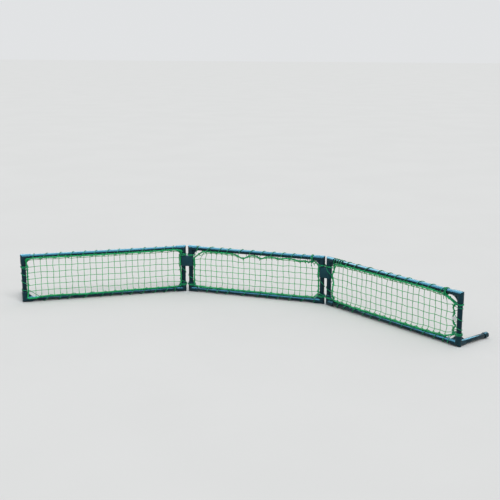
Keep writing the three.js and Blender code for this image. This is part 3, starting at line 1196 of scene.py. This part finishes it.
@dataclass(frozen=True)
class TieShape:
    """How ties stand on the lacing, and how the knotted ones end.

    The knot's and the ends' lifts and the width are in cord diameters, and the band's lift in cord radii.
    The knot stands at its share of the way round. Each end goes sideways by its reach in steps, which are
    a share of the way round and a share of the fall.
    """

    pitch: float = 0.0042
    band_lift: float = 0.6
    knot_share: float = 0.3
    knot_lift: float = 1.3
    knot_width: float = 1.1
    knot_turns: float = 2.5
    end_reaches: tuple[float, float] = (-0.006, 0.009)
    end_lift: float = 1.4
    end_fall: float = 0.016
    end_steps: tuple[tuple[float, float], ...] = ((0.22, 0.0), (0.12, 0.3), (0.0, 1.0))
    first_step: float = 0.4


@dataclass
class Panel:
    """What fills one frame: border rope, net and lacing.

    The hinged sides are those whose posts turn in a block. The cord passes above or below it, and with
    over_block it may lie slantwise over the block's front. The doubled points are the middle of a second
    length of rope at a corner, knotted at its start. The wanders are the most by which rope and net stray
    from an even place. The net hangs higher than the middle by its lift, and the pull of the rope on it
    fades over its ease, in meshes. The cord comes through the net by its lead before a side's first wrap
    and after its last, and keeps the strand room from the twine there. A turn keeps its place beside a
    block for the rope's hold, a share of its way round the rope, and leaves the block past that. A fitting
    or block counts as far as the ledge beyond its end.
    """

    plan: FramePlan
    columns: int
    sides: dict[Edge, Side]
    hinged: tuple[Edge, ...]
    seed: int
    doubled: tuple[tuple[float, float, float], ...] = ()
    rope: Cordage = field(default_factory=lambda: Cordage(0.010, 3, 0.032, 0.0028, 1))
    twine: Cordage = field(default_factory=lambda: Cordage(0.0041, 2, 0.012, 0.0019, 0))
    cord: Cordage = field(default_factory=lambda: Cordage(0.0040, 3, 0.012, 0.0017, 0))
    knot: Cordage = field(default_factory=lambda: Cordage(0.0022, 1, 1.0, 0.0014, 0))
    knotting: KnotShape = KnotShape()
    tying: TieShape = TieShape()
    pipe_radius: float = PipeStock.radius
    fitting_radius: float = CornerFitting.radius
    sleeve_radius: float = HingeBlock.radius
    block: tuple[float, float] = (0.167, 0.231)
    leg: float = CornerFitting.leg
    clearance: float = 0.00015
    ledge: float = 0.002
    corner_bend: float = 0.006
    rope_pitch: float = 0.016
    rope_wander: float = 0.0006
    turn_points: int = 20
    rope_hold: float = 0.8
    lead: float = 0.012
    strand_room: float = 0.001
    net_ease: float = 1.2
    net_lift: float = 0.012
    net_wander: float = 0.0022
    net_depth: float = 0.002
    end_knot_width: float = 1.7
    end_knot_turns: float = 2.0
    over_block: bool = False

    def __post_init__(self) -> None:
        """Lays the rope and places the net's crossings, which everything else follows."""
        self.chance = random.Random(self.seed)
        self.route = smooth_line(self._rope_points(), self.rope.step, True)
        self.crossings = self._place_crossings()

    def beside(self, edge: Edge, at: float, inward: float, back: float = 0.0) -> Vector:
        """Gives a point beside one pipe of the frame.

        Args:
            edge: the side.
            at: how far along it, from the left or from the ground.
            inward: how far in from the pipe's middle.
            back: how far behind the net.

        Returns:
            The point in the frame's own coordinates.
        """
        plan = self.plan
        if edge is Edge.TOP:
            return Vector((at, back, plan.top - inward))
        if edge is Edge.BOTTOM:
            return Vector((at, back, plan.bottom + inward))
        across = inward if edge is Edge.LEFT else plan.span - inward
        return Vector((across, back, at))

    def _ends(self, edge: Edge) -> tuple[float, float]:
        """Gives the places of a side's first and last corner, in the order of the way round."""
        low, high = (0.0, self.plan.span) if edge.is_rail else (self.plan.bottom, self.plan.top)
        return (low, high) if edge.sign > 0 else (high, low)

    def _carried_radius(self, edge: Edge, at: float) -> float:
        """Gives the radius of what rope and lacing lie on: pipe, fitting or hinge block.

        Args:
            edge: the side.
            at: how far along it.

        Returns:
            The radius.
        """
        if min(abs(at - end) for end in self._ends(edge)) < self.leg + self.ledge:
            return self.fitting_radius
        if edge in self.hinged and self.block[0] - self.ledge < at < self.block[1] + self.ledge:
            return self.sleeve_radius
        return self.pipe_radius

    def _apart(self, edge: Edge, at: float) -> float:
        """Gives the distance between the middles of pipe and rope, which never sink into each other."""
        least = self._carried_radius(edge, at) + self.rope.radius + self.clearance
        return max(self.sides[edge].distance(at), least)

    def _corner_reach(self, corner: Corner, least: float, edge: Edge, other: Edge, at: float) -> float:
        """Gives the distance from a corner at which the rope leaves a side or comes to it.

        Args:
            corner: how the rope takes the corner.
            least: the least distance, where it cuts the corner.
            edge: the side.
            other: the side beyond the corner.
            at: the corner's place along that one.

        Returns:
            The distance.
        """
        beyond = self.sides[other]
        if corner is Corner.CUT:
            slant = self.leg + self.fitting_radius + math.sqrt(2) * (self.rope.radius + self.clearance)
            return max(slant - self.sides[edge].inset, beyond.inset, least)
        apart = self.fitting_radius + self.rope.radius + self.clearance
        return apart * math.cos(beyond.lean(at)) + self.corner_bend

    def _rope_points(self) -> list[Vector]:
        """Lays the border rope round the inside of the frame.

        Returns:
            Points that it passes through, from the left of the top round to the right.
        """
        order = list(Edge)
        route: list[Vector] = []
        for edge, before, after in zip(order, order[-1:] + order, order[1:] + order):
            side, came_by = self.sides[edge], self.sides[before]
            start, stop = self._ends(edge)
            last, first = self._ends(before)[1], self._ends(after)[0]
            start += edge.sign * self._corner_reach(came_by.corner, came_by.reach[1], edge, before, last)
            stop -= edge.sign * self._corner_reach(side.corner, side.reach[0], edge, after, first)
            count = max(3, round(abs(stop - start) / self.rope_pitch))
            for step in range(count + 1):
                at = start + (stop - start) * step / count
                apart = self._apart(edge, at) + self.chance.uniform(0.0, self.rope_wander)
                lean = side.lean(at)
                back = self.chance.uniform(-self.rope_wander, self.rope_wander) - apart * math.sin(lean)
                route.append(self.beside(edge, at, apart * math.cos(lean), back))
        return route

    def meet(self, fixed: int, value: float, far: bool) -> tuple[Vector, Vector]:
        """Finds where a straight strand meets the border rope.

        Args:
            fixed: the coordinate that the strand keeps, 0 for an upright strand and 2 for a level one.
            value: what that coordinate is.
            far: whether to look at the top or the right.

        Returns:
            The point on the rope's middle, and the direction from there into the net.
        """
        here, following = self.route, np.roll(self.route, -1, axis=0)
        crossed = np.nonzero((here[:, fixed] - value) * (following[:, fixed] - value) <= 0)[0]
        gaps = following[crossed, fixed] - here[crossed, fixed]
        share = (value - here[crossed, fixed]) / np.where(gaps == 0, 1, gaps)
        spots = here[crossed] + (following[crossed] - here[crossed]) * share[:, None]
        other = spots[:, 2 - fixed]
        pick = int(other.argmax() if far else other.argmin())
        ahead = following[crossed[pick]] - here[crossed[pick]]
        inward = Vector((ahead[2], 0.0, -ahead[0])).normalized()
        return Vector(spots[pick]), inward

    def _eased(self, fixed: int, value: float, places: Sequence[float], index: int) -> float:
        """Draws one place of an evenly hung strand towards the rope's two sides where they are near.

        Args:
            fixed: the coordinate that the strand keeps.
            value: what that coordinate is.
            places: the even places along it, the rope's at both ends.
            index: which place.

        Returns:
            The place.
        """
        low, high = (self.meet(fixed, value, far)[0][2 - fixed] for far in (False, True))
        near_low = (low - places[0]) * math.exp(-index / self.net_ease)
        near_high = (high - places[-1]) * math.exp((index + 1 - len(places)) / self.net_ease)
        return places[index] + near_low + near_high

    def _place_crossings(self) -> list[list[Vector]]:
        """Places the net's knots: square mesh, hung a little high, uneven, drawn to the rope beside it.

        Returns:
            The knots by column and row.
        """
        plan, wander = self.plan, self.chance.uniform
        middle = (plan.bottom + plan.top) / 2
        left, right = self.sides[Edge.LEFT].inset, plan.span - self.sides[Edge.RIGHT].inset
        inside = self.rope.radius + self.clearance
        pitch = (right - left - 2 * inside) / self.columns
        rail = self.sides[Edge.TOP].inset
        meshes = int((plan.top - plan.bottom - 2 * (rail + inside + self.twine.diameter)) / pitch)
        across = [left] + [left + inside + pitch * column for column in range(1, self.columns)] + [right]
        up = [middle + self.net_lift + pitch * (row - meshes / 2) for row in range(meshes + 1)]
        up = [plan.bottom + rail] + up + [plan.top - rail]
        placed = []
        for column in range(1, self.columns):
            line = []
            for row in range(1, len(up) - 1):
                x = self._eased(2, up[row], across, column) + wander(-self.net_wander, self.net_wander)
                z = self._eased(0, across[column], up, row) + wander(-self.net_wander, self.net_wander)
                line.append(Vector((x, wander(-self.net_depth, self.net_depth), z)))
            placed.append(line)
        return placed

    def _round_rope(self, spot: Vector, inward: Vector) -> list[Vector]:
        """Takes a strand's end round the border rope.

        Args:
            spot: the point on the rope's middle.
            inward: the direction into the net.

        Returns:
            Points from the net, round the rope and back to the strand.
        """
        shape = self.knotting
        reach = self.rope.radius + self.twine.radius * shape.loop_grip
        points = [spot + inward * (reach + shape.front_reach)]
        for step in range(shape.loop_steps + 1):
            angle = math.radians(shape.loop_start + shape.loop_sweep * step / shape.loop_steps)
            back = Vector((0, reach * math.sin(angle), 0))
            points.append(spot + inward * (reach * math.cos(angle)) + back)
        points.append(spot + inward * (reach + shape.back_reach) + Vector((0, -self.twine.radius, 0)))
        return points

    def _knot_round(
        self, middle: Vector, axis: Vector, radius: float, turns: float = 1.5
    ) -> list[Vector]:
        """Winds a small knot.

        Args:
            middle: its middle.
            axis: what it winds round.
            radius: how far out it winds.
            turns: how many turns it has.

        Returns:
            Points along its winding.
        """
        shape = self.knotting
        across = axis.cross(NEARLY_BACK).normalized()
        over = axis.cross(across).normalized()
        count = round(turns * shape.steps)
        points = []
        for step in range(count + 1):
            angle = turns * math.tau * step / count
            shift = axis * ((step / count - 0.5) * radius * shape.spread)
            ring = across * (radius * math.cos(angle)), over * (radius * math.sin(angle))
            points.append(middle + ring[0] + ring[1] + shift)
        return points

    def build_rope(self) -> bpy.types.Object:
        """Lays up the border rope.

        Returns:
            The piece.
        """
        node = f"{self.plan.name}_border_rope"
        lines = self.rope.lay_up([Vector(p) for p in self.route], True)
        mesh = self.rope.mesh(f"{node}_strands", lines, True, self.plan.matrix)
        if self.doubled:
            stretch = [Vector(point) for point in self.doubled]
            way = (stretch[1] - stretch[0]).normalized()
            behind = stretch[0] + Vector((0, self.rope.radius, 0))
            width = self.rope.radius * self.end_knot_width
            knot = self._knot_round(behind, way, width, self.end_knot_turns)
            lines = self.rope.lay_up(stretch) + self.rope.lay_up(knot)
            join(mesh, self.rope.mesh(f"{node}_end", lines, False, self.plan.matrix))
        return deliver(mesh.name, mesh, Dressing.ROPE, self.plan.body, node)

    def build_net(self) -> bpy.types.Object:
        """Knots the net and loops its strands round the border rope.

        Returns:
            The piece.
        """
        node = f"{self.plan.name}_net"
        shape = self.knotting
        strands, knots = [], []
        columns = self.crossings
        rows = [list(line) for line in zip(*columns)]
        for fixed, lines in ((0, columns), (2, rows)):
            for line in lines:
                start, start_in = self.meet(fixed, line[0][fixed], False)
                stop, stop_in = self.meet(fixed, line[-1][fixed], True)
                route = self._round_rope(start, start_in)[::-1] + line + self._round_rope(stop, stop_in)
                strands += self.twine.lay_up(route)
                for spot, inward in ((start, start_in), (stop, stop_in)):
                    place = spot + inward * (self.rope.radius + shape.rope_reach)
                    knots.append(self._knot_round(place, inward, shape.rope_radius))
        diagonal = Vector((1, 0, 1)).normalized()
        for line in columns:
            knots += [self._knot_round(point, diagonal, shape.mesh_radius) for point in line]
        mesh = self.twine.mesh(f"{node}_twine", strands, False, self.plan.matrix)
        wound = [smooth_line(points, self.knot.step, False) for points in knots]
        join(mesh, self.knot.mesh(f"{node}_knots", wound, False, self.plan.matrix))
        return deliver(mesh.name, mesh, Dressing.NET, self.plan.body, node)

    def _turn_round(
        self, edge: Edge, at: float, share: float, ease: float = 0.0, wrap: float | None = None
    ) -> Vector:
        """Gives a point of one turn of the lacing round pipe and rope.

        Args:
            edge: the side.
            at: how far along it.
            share: how far round, 0 and 1 inside the rope and a half outside the pipe, by the front first.
            ease: how far the turn stands off what it goes round.
            wrap: where the turn lies on the pipe's far side, if not there.

        Returns:
            The point.
        """
        out = self.cord.radius + self.clearance + ease
        large, small = self._carried_radius(edge, at) + out, self.rope.radius + out
        apart = self._apart(edge, at)
        meeting = math.acos((large - small) / apart)
        straight = math.sqrt(apart**2 - (large - small) ** 2)
        way = (1 - abs(1 - 2 * share)) * (small * meeting + straight + large * (math.pi - meeting))
        front = -1 if share < 0.5 else 1
        if self.over_block and front < 0:
            kept = small * meeting + straight + large * (math.pi / 2 - meeting)
        else:
            kept = small * meeting * self.rope_hold
        if edge in self.hinged and way > kept:
            at = self._past_block(at, at if wrap is None else wrap)
        if way < small * meeting:
            inward, side = apart + small * math.cos(way / small), small * math.sin(way / small)
        elif way < small * meeting + straight:
            part = (way - small * meeting) / straight
            inward = (apart + small * math.cos(meeting)) * (1 - part) + large * math.cos(meeting) * part
            side = (small * (1 - part) + large * part) * math.sin(meeting)
        else:
            angle = meeting + (way - small * meeting - straight) / large
            inward, side = large * math.cos(angle), large * math.sin(angle)
        side *= front
        lean = self.sides[edge].lean(at)
        turned = inward * math.cos(lean) + side * math.sin(lean)
        point = self.beside(edge, at, turned, side * math.cos(lean) - inward * math.sin(lean))
        point.z = max(point.z, self.cord.radius)
        return point

    def _past_block(self, at: float, wrap: float) -> float:
        """Moves a place on a hinged post off the hinge block, which no cord can pass.

        Args:
            at: the place.
            wrap: a place on the side of the block to which it moves.

        Returns:
            The place, or the nearest one to the block on that side.
        """
        low, high = self.block[0] - self.cord.diameter, self.block[1] + self.cord.diameter
        if low < at < high:
            return high if wrap > (low + high) / 2 else low
        return at

    def _through(self, edge: Edge, at: float) -> float:
        """Moves a passage of the lacing through the net away from the nearest strand.

        Args:
            edge: the side that the passage is beside.
            at: its place along that side.

        Returns:
            The place, moved if need be.
        """
        if edge.is_rail:
            strands = [line[0 if edge is Edge.BOTTOM else -1].x for line in self.crossings]
        else:
            strands = [point.z for point in self.crossings[0 if edge is Edge.LEFT else -1]]
        nearest = min(strands, key=lambda place: abs(place - at))
        keep = self.twine.diameter + self.cord.diameter / 2 + self.strand_room
        return at if abs(at - nearest) > keep else nearest + math.copysign(keep, at - nearest)

    def _bind(self, edge: Edge, tie: Tie) -> list[list[Vector]]:
        """Winds one tie over the lacing.

        Args:
            edge: the side that it is on.
            tie: where it is and how many turns it has.

        Returns:
            The routes of its turns and, where it is knotted, of the knot and its two ends.
        """
        shape, thick = self.tying, self.cord.diameter
        first = tie.at - tie.turns * shape.pitch / 2
        lift = self.cord.radius * shape.band_lift
        band = []
        for step in range(tie.turns * self.turn_points + 1):
            share = step / self.turn_points
            band.append(self._turn_round(edge, first + share * shape.pitch, share % 1, lift))
        if not tie.knotted:
            return [band]
        spot = self._turn_round(edge, tie.at, shape.knot_share, thick * shape.knot_lift)
        along = self.beside(edge, 1.0, 0.0) - self.beside(edge, 0.0, 0.0)
        knot = self._knot_round(spot, along, thick * shape.knot_width, shape.knot_turns)
        ends = []
        for sideways in shape.end_reaches:
            end = [spot]
            for share, fall in shape.end_steps:
                at = tie.at + sideways * (shape.first_step + fall)
                point = self._turn_round(edge, at, share, thick * shape.end_lift)
                end.append(point - UP * (shape.end_fall * fall))
            ends.append(end)
        return [band, knot, *ends]

    def build_lacing(self) -> bpy.types.Object:
        """Winds the lacing cord round pipes and rope, from the left of the top round to the right.

        Returns:
            The piece.
        """
        node = f"{self.plan.name}_lacing"
        route: list[Vector] = []
        bound: list[list[Vector]] = []
        for edge in Edge:
            side = self.sides[edge]
            wraps = sorted(side.wraps, reverse=edge.sign < 0)
            halves = [(a + b) / 2 for a, b in zip(wraps, wraps[1:])]
            ends = (wraps[0] - edge.sign * self.lead, wraps[-1] + edge.sign * self.lead)
            passes = [self._through(edge, at) for at in (ends[0], *halves, ends[1])]
            for wrap, before, after in zip(wraps, passes, passes[1:]):
                for step in range(self.turn_points):
                    share = step / self.turn_points
                    near, far = (before, wrap) if share < 0.5 else (wrap, after)
                    part = share * 2 % 1
                    route.append(self._turn_round(edge, near + (far - near) * part, share, wrap=wrap))
            route.append(self._turn_round(edge, passes[-1], 1.0))
            bound += [line for tie in side.ties for line in self._bind(edge, tie)]
        lines = [strand for line in [route, *bound] for strand in self.cord.lay_up(line)]
        mesh = self.cord.mesh(f"{node}_cord", lines, False, self.plan.matrix)
        return deliver(mesh.name, mesh, Dressing.CORD, self.plan.body, node)

    def build(self) -> None:
        """Builds all three pieces."""
        self.build_rope()
        self.build_net()
        self.build_lacing()


@dataclass
class Label:
    """A plain tape folded round the border rope, its two layers stitched together beside it.

    The fold starts and ends some degrees from the way outwards, and the layers meet at the seam. A
    stitch's pitch is in stitches, and its lift in thicknesses of the tape.
    """

    panel: Panel
    tail: float = 0.016
    thickness: float = 0.0006
    ease: float = 0.0006
    fold_start: float = 28.0
    fold_steps: int = 14
    layer_share: float = 0.7
    seam: float = 0.004
    thread: Cordage = field(default_factory=lambda: Cordage(0.0005, 1, 1.0, 0.0006, 0))
    stitch: float = 0.0022
    stitch_pitch: float = 1.4
    stitch_lift: float = 1.7
    stitch_sink: float = 0.0006
    stitch_bend: float = 0.0003
    stitch_start: float = 0.005
    margin: float = 0.0016

    def build(self) -> bpy.types.Object:
        """Folds the tape and stitches it.

        Returns:
            The piece.
        """
        plan = self.panel.plan
        node = f"{plan.name}_label"
        low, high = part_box(node)
        spot = self.panel.meet(2, (low.z + high.z) / 2, True)[0]
        reach = self.panel.rope.radius + self.ease
        bm = bmesh.new()
        outline = []
        sweep = 360.0 - 2 * self.fold_start
        for step in range(self.fold_steps + 1):
            angle = math.radians(self.fold_start + sweep * step / self.fold_steps)
            outline.append((reach * math.cos(angle), reach * math.sin(angle)))
        half = self.thickness * self.layer_share
        first = [(reach + self.tail, half), (reach + self.seam, half)]
        outline = first + outline + [(x, -y) for x, y in reversed(first)]
        ring = [bm.verts.new((spot.x + x, spot.y + y, low.z)) for x, y in outline]
        edges = [bm.edges.new(pair) for pair in zip(ring, ring[1:])]
        push(bm, bmesh.ops.extrude_edge_only(bm, edges=edges), UP * (high.z - low.z))
        bmesh.ops.solidify(bm, geom=bm.faces[:], thickness=self.thickness)
        bmesh.ops.recalc_face_normals(bm, faces=bm.faces[:])
        bmesh.ops.transform(bm, matrix=plan.matrix, verts=bm.verts[:])
        mesh = close_mesh(bm, f"{node}_tape")
        stitches = self._stitches(spot, low.z, high.z)
        join(mesh, self.thread.mesh(f"{node}_thread", stitches, False, plan.matrix))
        return deliver(mesh.name, mesh, Dressing.LABEL, plan.body, node)

    def _stitches(self, spot: Vector, low: float, high: float) -> list[np.ndarray]:
        """Sews the two layers together beside the rope and along the tape's free edge.

        Args:
            spot: the rope's middle behind the tape.
            low: the height of the tape's lower edge.
            high: that of its upper edge.

        Returns:
            The stitches' lines, on the front and the back.
        """
        start = spot.x + self.panel.rope.radius + self.ease + self.stitch_start
        stop = start - self.stitch_start + self.tail - self.margin
        foot, head = low + self.margin, high - self.margin
        pitch, bend = self.stitch * self.stitch_pitch, self.stitch_bend
        lines = []
        for x in (start, stop):
            for index in range(int((head - foot) / pitch)):
                z = foot + index * pitch
                for side in (-1, 1):
                    y = spot.y + side * (self.thickness * self.stitch_lift)
                    sunk = y - side * self.stitch_sink
                    ends = [(x, sunk, z), (x, y, z + bend)]
                    ends += [(x, y, z + self.stitch - bend), (x, sunk, z + self.stitch)]
                    lines.append(np.array(ends))
        return lines


# ------------------------------------------------------------------ stage


@dataclass(frozen=True)
class Softbox:
    """A flat panel that faces the fence and shows as the bright sky on glossy pieces alone."""

    name: str
    place: tuple[float, float, float]
    width: float
    height: float
    radiance: float
    colour: Colour = (1.0, 1.0, 1.0)

    def hang(self) -> None:
        """Hangs it in the room."""
        data = bpy.data.lights.new(self.name, "AREA")
        data.shape, data.size, data.size_y, data.color = "RECTANGLE", self.width, self.height, self.colour
        data.energy = self.radiance * math.pi * self.width * self.height
        lamp = put(self.name, data)
        lamp.location = self.place
        lamp.rotation_euler = (-Vector(self.place)).to_track_quat("-Z", "Y").to_euler()
        lamp.visible_camera = False
        lamp.visible_diffuse = False


@dataclass
class Stage:
    """Floor, lights and camera. The floor lies a hair low, under the cords that the rails press down."""

    lens: float = 65.816
    sensor: float = 36.0
    eye: tuple[float, float, float] = (1.8061, -4.9018, 1.5655)
    turn: float = math.radians(19.596)
    down: float = math.radians(12.961)
    roll: float = math.radians(-0.033)
    sight: float = 200.0
    floor_reach: float = 60.0
    floor_drop: float = 0.0005
    room: float = 0.78
    room_colour: Colour = (0.97, 0.985, 1.0)
    sun: float = 0.9
    sun_from: tuple[float, float, float] = (0.75, -0.55, 1.1)
    sun_width: float = math.radians(24)
    sky: Softbox = Softbox("sky", (-0.5, 0.0, 5.0), 15.0, 12.0, 14.5, (0.5, 0.87, 1.0))

    def build(self) -> None:
        """Builds all three."""
        self._camera()
        self._floor()
        self._lights()

    def _camera(self) -> None:
        """Stands the camera where the fence was photographed from."""
        data = bpy.data.cameras.new("camera")
        data.lens, data.sensor_width, data.sensor_fit = self.lens, self.sensor, "HORIZONTAL"
        data.clip_end = self.sight
        camera = put("camera", data)
        turn = Matrix.Rotation(self.turn, 4, "Z") @ Matrix.Rotation(math.pi / 2 - self.down, 4, "X")
        camera.matrix_world = Matrix.Translation(self.eye) @ turn @ Matrix.Rotation(self.roll, 4, "Z")
        bpy.context.scene.camera = camera

    def _floor(self) -> None:
        """Lays a wide pale floor."""
        bm = bmesh.new()
        bmesh.ops.create_grid(bm, x_segments=4, y_segments=4, size=self.floor_reach)
        mesh = bpy.data.meshes.new("floor")
        bm.to_mesh(mesh)
        bm.free()
        mesh.materials.append(FloorFinish().material())
        floor = put("floor", mesh)
        floor.location.z = -self.floor_drop

    def _lights(self) -> None:
        """Fills the room with even light, adds a soft sun, and hangs the sky that the pipes mirror."""
        world = bpy.data.worlds.new("room")
        bpy.context.scene.world = world
        world.use_nodes = True
        background = world.node_tree.nodes["Background"]
        background.inputs["Color"].default_value = (*self.room_colour, 1.0)
        background.inputs["Strength"].default_value = self.room
        data = bpy.data.lights.new("sun", "SUN")
        data.energy, data.angle = self.sun, self.sun_width
        lamp = put("sun", data)
        lamp.rotation_euler = (-Vector(self.sun_from)).to_track_quat("-Z", "Y").to_euler()
        self.sky.hang()


# ------------------------------------------------------------------ the fence


@dataclass
class PipeFrame:
    """One pipe frame: rails, posts, corner fittings and, on an end frame, its foot."""

    plan: FramePlan
    stock: PipeStock
    fitting: CornerFitting
    cap: FootCap

    def build(self) -> None:
        """Builds every piece of the frame."""
        span, inset = self.plan.span, self.plan.socket_depth
        bottom, top = self.plan.bottom, self.plan.top
        for where, height in (("top", top), ("bottom", bottom)):
            self._build_pipe(f"{where}_rail", (inset, 0, height), (span - inset, 0, height))
        for where, across in (("left", 0.0), ("right", span)):
            self._build_pipe(f"{where}_post", (across, 0, bottom + inset), (across, 0, top - inset))
            if where == self.plan.name:
                self._build_foot(across)
        self._build_fittings()

    def _build_foot(self, across: float) -> None:
        """Builds the foot pipe and the cap on its end.

        Args:
            across: how far along the frame the foot stands.
        """
        plan, cap = self.plan, self.cap
        node = f"{plan.name}_foot_cap"
        mouth = plan.own(middle_of(node)).y - cap.length / 2
        mesh = cap.mould(f"{node}_moulding")
        back = Matrix.Rotation(-math.pi / 2, 4, "X")
        mesh.transform(plan.matrix @ Matrix.Translation((across, mouth, plan.bottom)) @ back)
        deliver(mesh.name, mesh, Dressing.FITTING, plan.body, node)
        end = mouth + cap.length - cap.floor - (cap.bore - self.stock.radius)
        self._build_pipe("foot_pipe", (across, plan.socket_depth, plan.bottom), (across, end, plan.bottom))

    def _build_pipe(self, part: str, start: Sequence[float], end: Sequence[float]) -> None:
        """Cuts one pipe of the frame.

        Args:
            part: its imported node's name after the frame's.
            start: the middle of its first end, in the frame's own coordinates.
            end: the middle of its other end.
        """
        plan = self.plan
        node = f"{plan.name}_{part}"
        mesh = self.stock.cut(f"{node}_tube", plan.matrix @ Vector(start), plan.matrix @ Vector(end))
        deliver(mesh.name, mesh, Dressing.PIPE, plan.body, node)

    def _build_fittings(self) -> None:
        """Places the four corner fittings, each turned by quarters from the bottom left one."""
        plan = self.plan
        turns = {("bottom", "left"): 0, ("bottom", "right"): -1, ("top", "left"): 1, ("top", "right"): 2}
        for (rail, post), quarter in turns.items():
            node = f"{plan.name}_{rail}_{post}_fitting"
            has_foot = rail == "bottom" and post == plan.name
            mesh = self.fitting.mould(has_foot).copy()
            across = 0.0 if post == "left" else plan.span
            place = Matrix.Translation((across, 0.0, plan.top if rail == "top" else plan.bottom))
            mesh.transform(plan.matrix @ place @ Matrix.Rotation(quarter * math.pi / 2, 4, "Y"))
            deliver(f"{node}_moulding", mesh, Dressing.FITTING, plan.body, node)


def fence_panels(plans: dict[str, FramePlan]) -> list[Panel]:
    """Lists what fills the three frames.

    Args:
        plans: the frames by name.

    Returns:
        The panels, from left to right.
    """
    rail, post, loose = 0.0193, 0.0221, 0.042
    left = {
        Edge.TOP: Side(
            rail,
            (0.072, 0.155, 0.239, 0.311, 0.384, 0.451, 0.530)
            + (0.592, 0.673, 0.754, 0.823, 0.887, 0.931),
            corner=Corner.OVER,
            leans=(
                (0.03, 1.1),
                (0.11, 1.2),
                (0.35, 1.05),
                (0.55, 1.0),
                (0.8, 1.15),
                (0.93, 1.25),
                (0.97, 1.0),
            ),
        ),
        Edge.RIGHT: Side(
            post,
            (0.241, 0.115, 0.050),
            corner=Corner.OVER,
            leans=((0.0, 0.5), (0.12, 0.5), (0.16, 0.2), (0.235, 0.2), (0.26, 0.9)),
            ties=(Tie(0.2415, 2), Tie(0.050, 3)),
        ),
        Edge.BOTTOM: Side(
            rail,
            (0.920, 0.849, 0.779, 0.703, 0.627, 0.577, 0.508, 0.446, 0.330, 0.244, 0.196, 0.1),
            corner=Corner.OVER,
            leans=(
                (0.06, 1.15),
                (0.11, 0.7),
                (0.2, 0.6),
                (0.35, 0.9),
                (0.5, 0.8),
                (0.65, 0.6),
                (0.9, 0.45),
            ),
        ),
        Edge.LEFT: Side(
            post,
            (0.079, 0.136, 0.183, 0.222),
            corner=Corner.OVER,
            leans=((0.03, 0.8), (0.07, 0.3), (0.2, 0.3), (0.255, 0.7)),
            ties=(Tie(0.223, 2),),
        ),
    }
    middle = {
        Edge.TOP: Side(
            rail,
            (0.056, 0.157, 0.218, 0.271, 0.350, 0.420, 0.494, 0.558, 0.622, 0.686, 0.748, 0.802),
            (
                Slack(0.352, 0.020, 0.06),
                Slack(0.475, 0.014, 0.04),
                Slack(0.594, 0.006, 0.04),
                Slack(0.721, 0.008, 0.06),
                Slack(0.778, 0.010, 0.03),
            ),
            leans=((0.09, 0.4), (0.13, 0.8), (0.27, 0.7), (0.31, 0.2), (0.5, 0.5), (0.75, 0.3), (0.8, 0.0)),
            ties=(Tie(0.800, 3, True),),
        ),
        Edge.RIGHT: Side(post, (0.242, 0.110, 0.050), ties=(Tie(0.242, 2), Tie(0.050, 3))),
        Edge.BOTTOM: Side(
            rail,
            (0.811, 0.721, 0.644, 0.566, 0.501, 0.436, 0.336, 0.229, 0.168, 0.100),
            leans=((0.0, 0.1), (0.1, 0.3), (0.75, 0.3), (0.8, 0.1)),
            corner=Corner.OVER,
        ),
        Edge.LEFT: Side(
            post,
            (0.050, 0.110, 0.242),
            reach=(0.064, 0.084),
            ties=(Tie(0.050, 2), Tie(0.242, 2)),
        ),
    }
    right = {
        Edge.TOP: Side(
            rail,
            (0.062, 0.084, 0.105, 0.126, 0.180, 0.254, 0.349)
            + (0.435, 0.503, 0.563, 0.643, 0.735, 0.811, 0.892),
            reach=(0.094, 0.052),
            leans=((0.05, 0.3), (0.12, 1.0), (0.8, 1.1), (0.88, 0.5)),
            ties=(Tie(0.896, 3, True),),
        ),
        Edge.RIGHT: Side(
            loose,
            (0.226, 0.209, 0.143, 0.092, 0.068),
            (
                Slack(0.230, -0.016, 0.022),
                Slack(0.205, 0.004, 0.02),
                Slack(0.175, -0.006, 0.03),
                Slack(0.150, 0.004, 0.02),
                Slack(0.107, -0.017, 0.022),
                Slack(0.061, -0.009, 0.03),
            ),
            reach=(0.044, 0.092),
            ties=(Tie(0.229, 2), Tie(0.068, 3)),
        ),
        Edge.BOTTOM: Side(
            rail,
            (0.922, 0.888, 0.820, 0.736, 0.649, 0.583, 0.493)
            + (0.415, 0.352, 0.288, 0.198, 0.130, 0.079),
            leans=((0.08, 0.0), (0.2, 0.4), (0.8, 0.4), (0.88, 0.0)),
        ),
        Edge.LEFT: Side(
            0.032,
            (0.050, 0.115, 0.242),
            (
                Slack(0.240, 0.012, 0.05),
                Slack(0.187, -0.005, 0.03),
                Slack(0.146, 0.008, 0.03),
                Slack(0.083, -0.005, 0.025),
                Slack(0.053, 0.009, 0.02),
            ),
            ties=(Tie(0.050, 2), Tie(0.242, 2)),
        ),
    }
    doubled = (
        (0.889, -0.0104, 0.2665),
        (0.905, -0.0108, 0.2590),
        (0.925, -0.0108, 0.2490),
        (0.943, -0.0106, 0.2400),
        (0.956, -0.0120, 0.2325),
        (0.9655, -0.0150, 0.2255),
    )
    return [
        Panel(plans["left"], 25, left, (Edge.RIGHT,), 11),
        Panel(plans["middle"], 22, middle, (Edge.LEFT, Edge.RIGHT), 12),
        Panel(plans["right"], 23, right, (Edge.LEFT,), 13, doubled, net_lift=0.005, over_block=True),
    ]


def main() -> None:
    """Builds and dresses the whole fence."""
    logging.basicConfig(level=logging.INFO, format="%(message)s")
    Stage().build()
    stock, fitting, cap = PipeStock(), CornerFitting(), FootCap()
    plans = {name: FramePlan.packed(name) for name in ("left", "middle", "right")}
    for plan in plans.values():
        PipeFrame(plan, stock, fitting, cap).build()
    HingeBlock("left_hinge_block", "left_block", "middle_left_post", "left_right_post").build()
    HingeBlock("right_hinge_block", "right_block", "middle_right_post", "right_left_post").build()
    for panel in fence_panels(plans):
        panel.build()
        if panel.plan.name == "right":
            Label(panel).build()
    bpy.context.scene.view_settings.view_transform = "Standard"


if __name__ == "__main__":
    main()
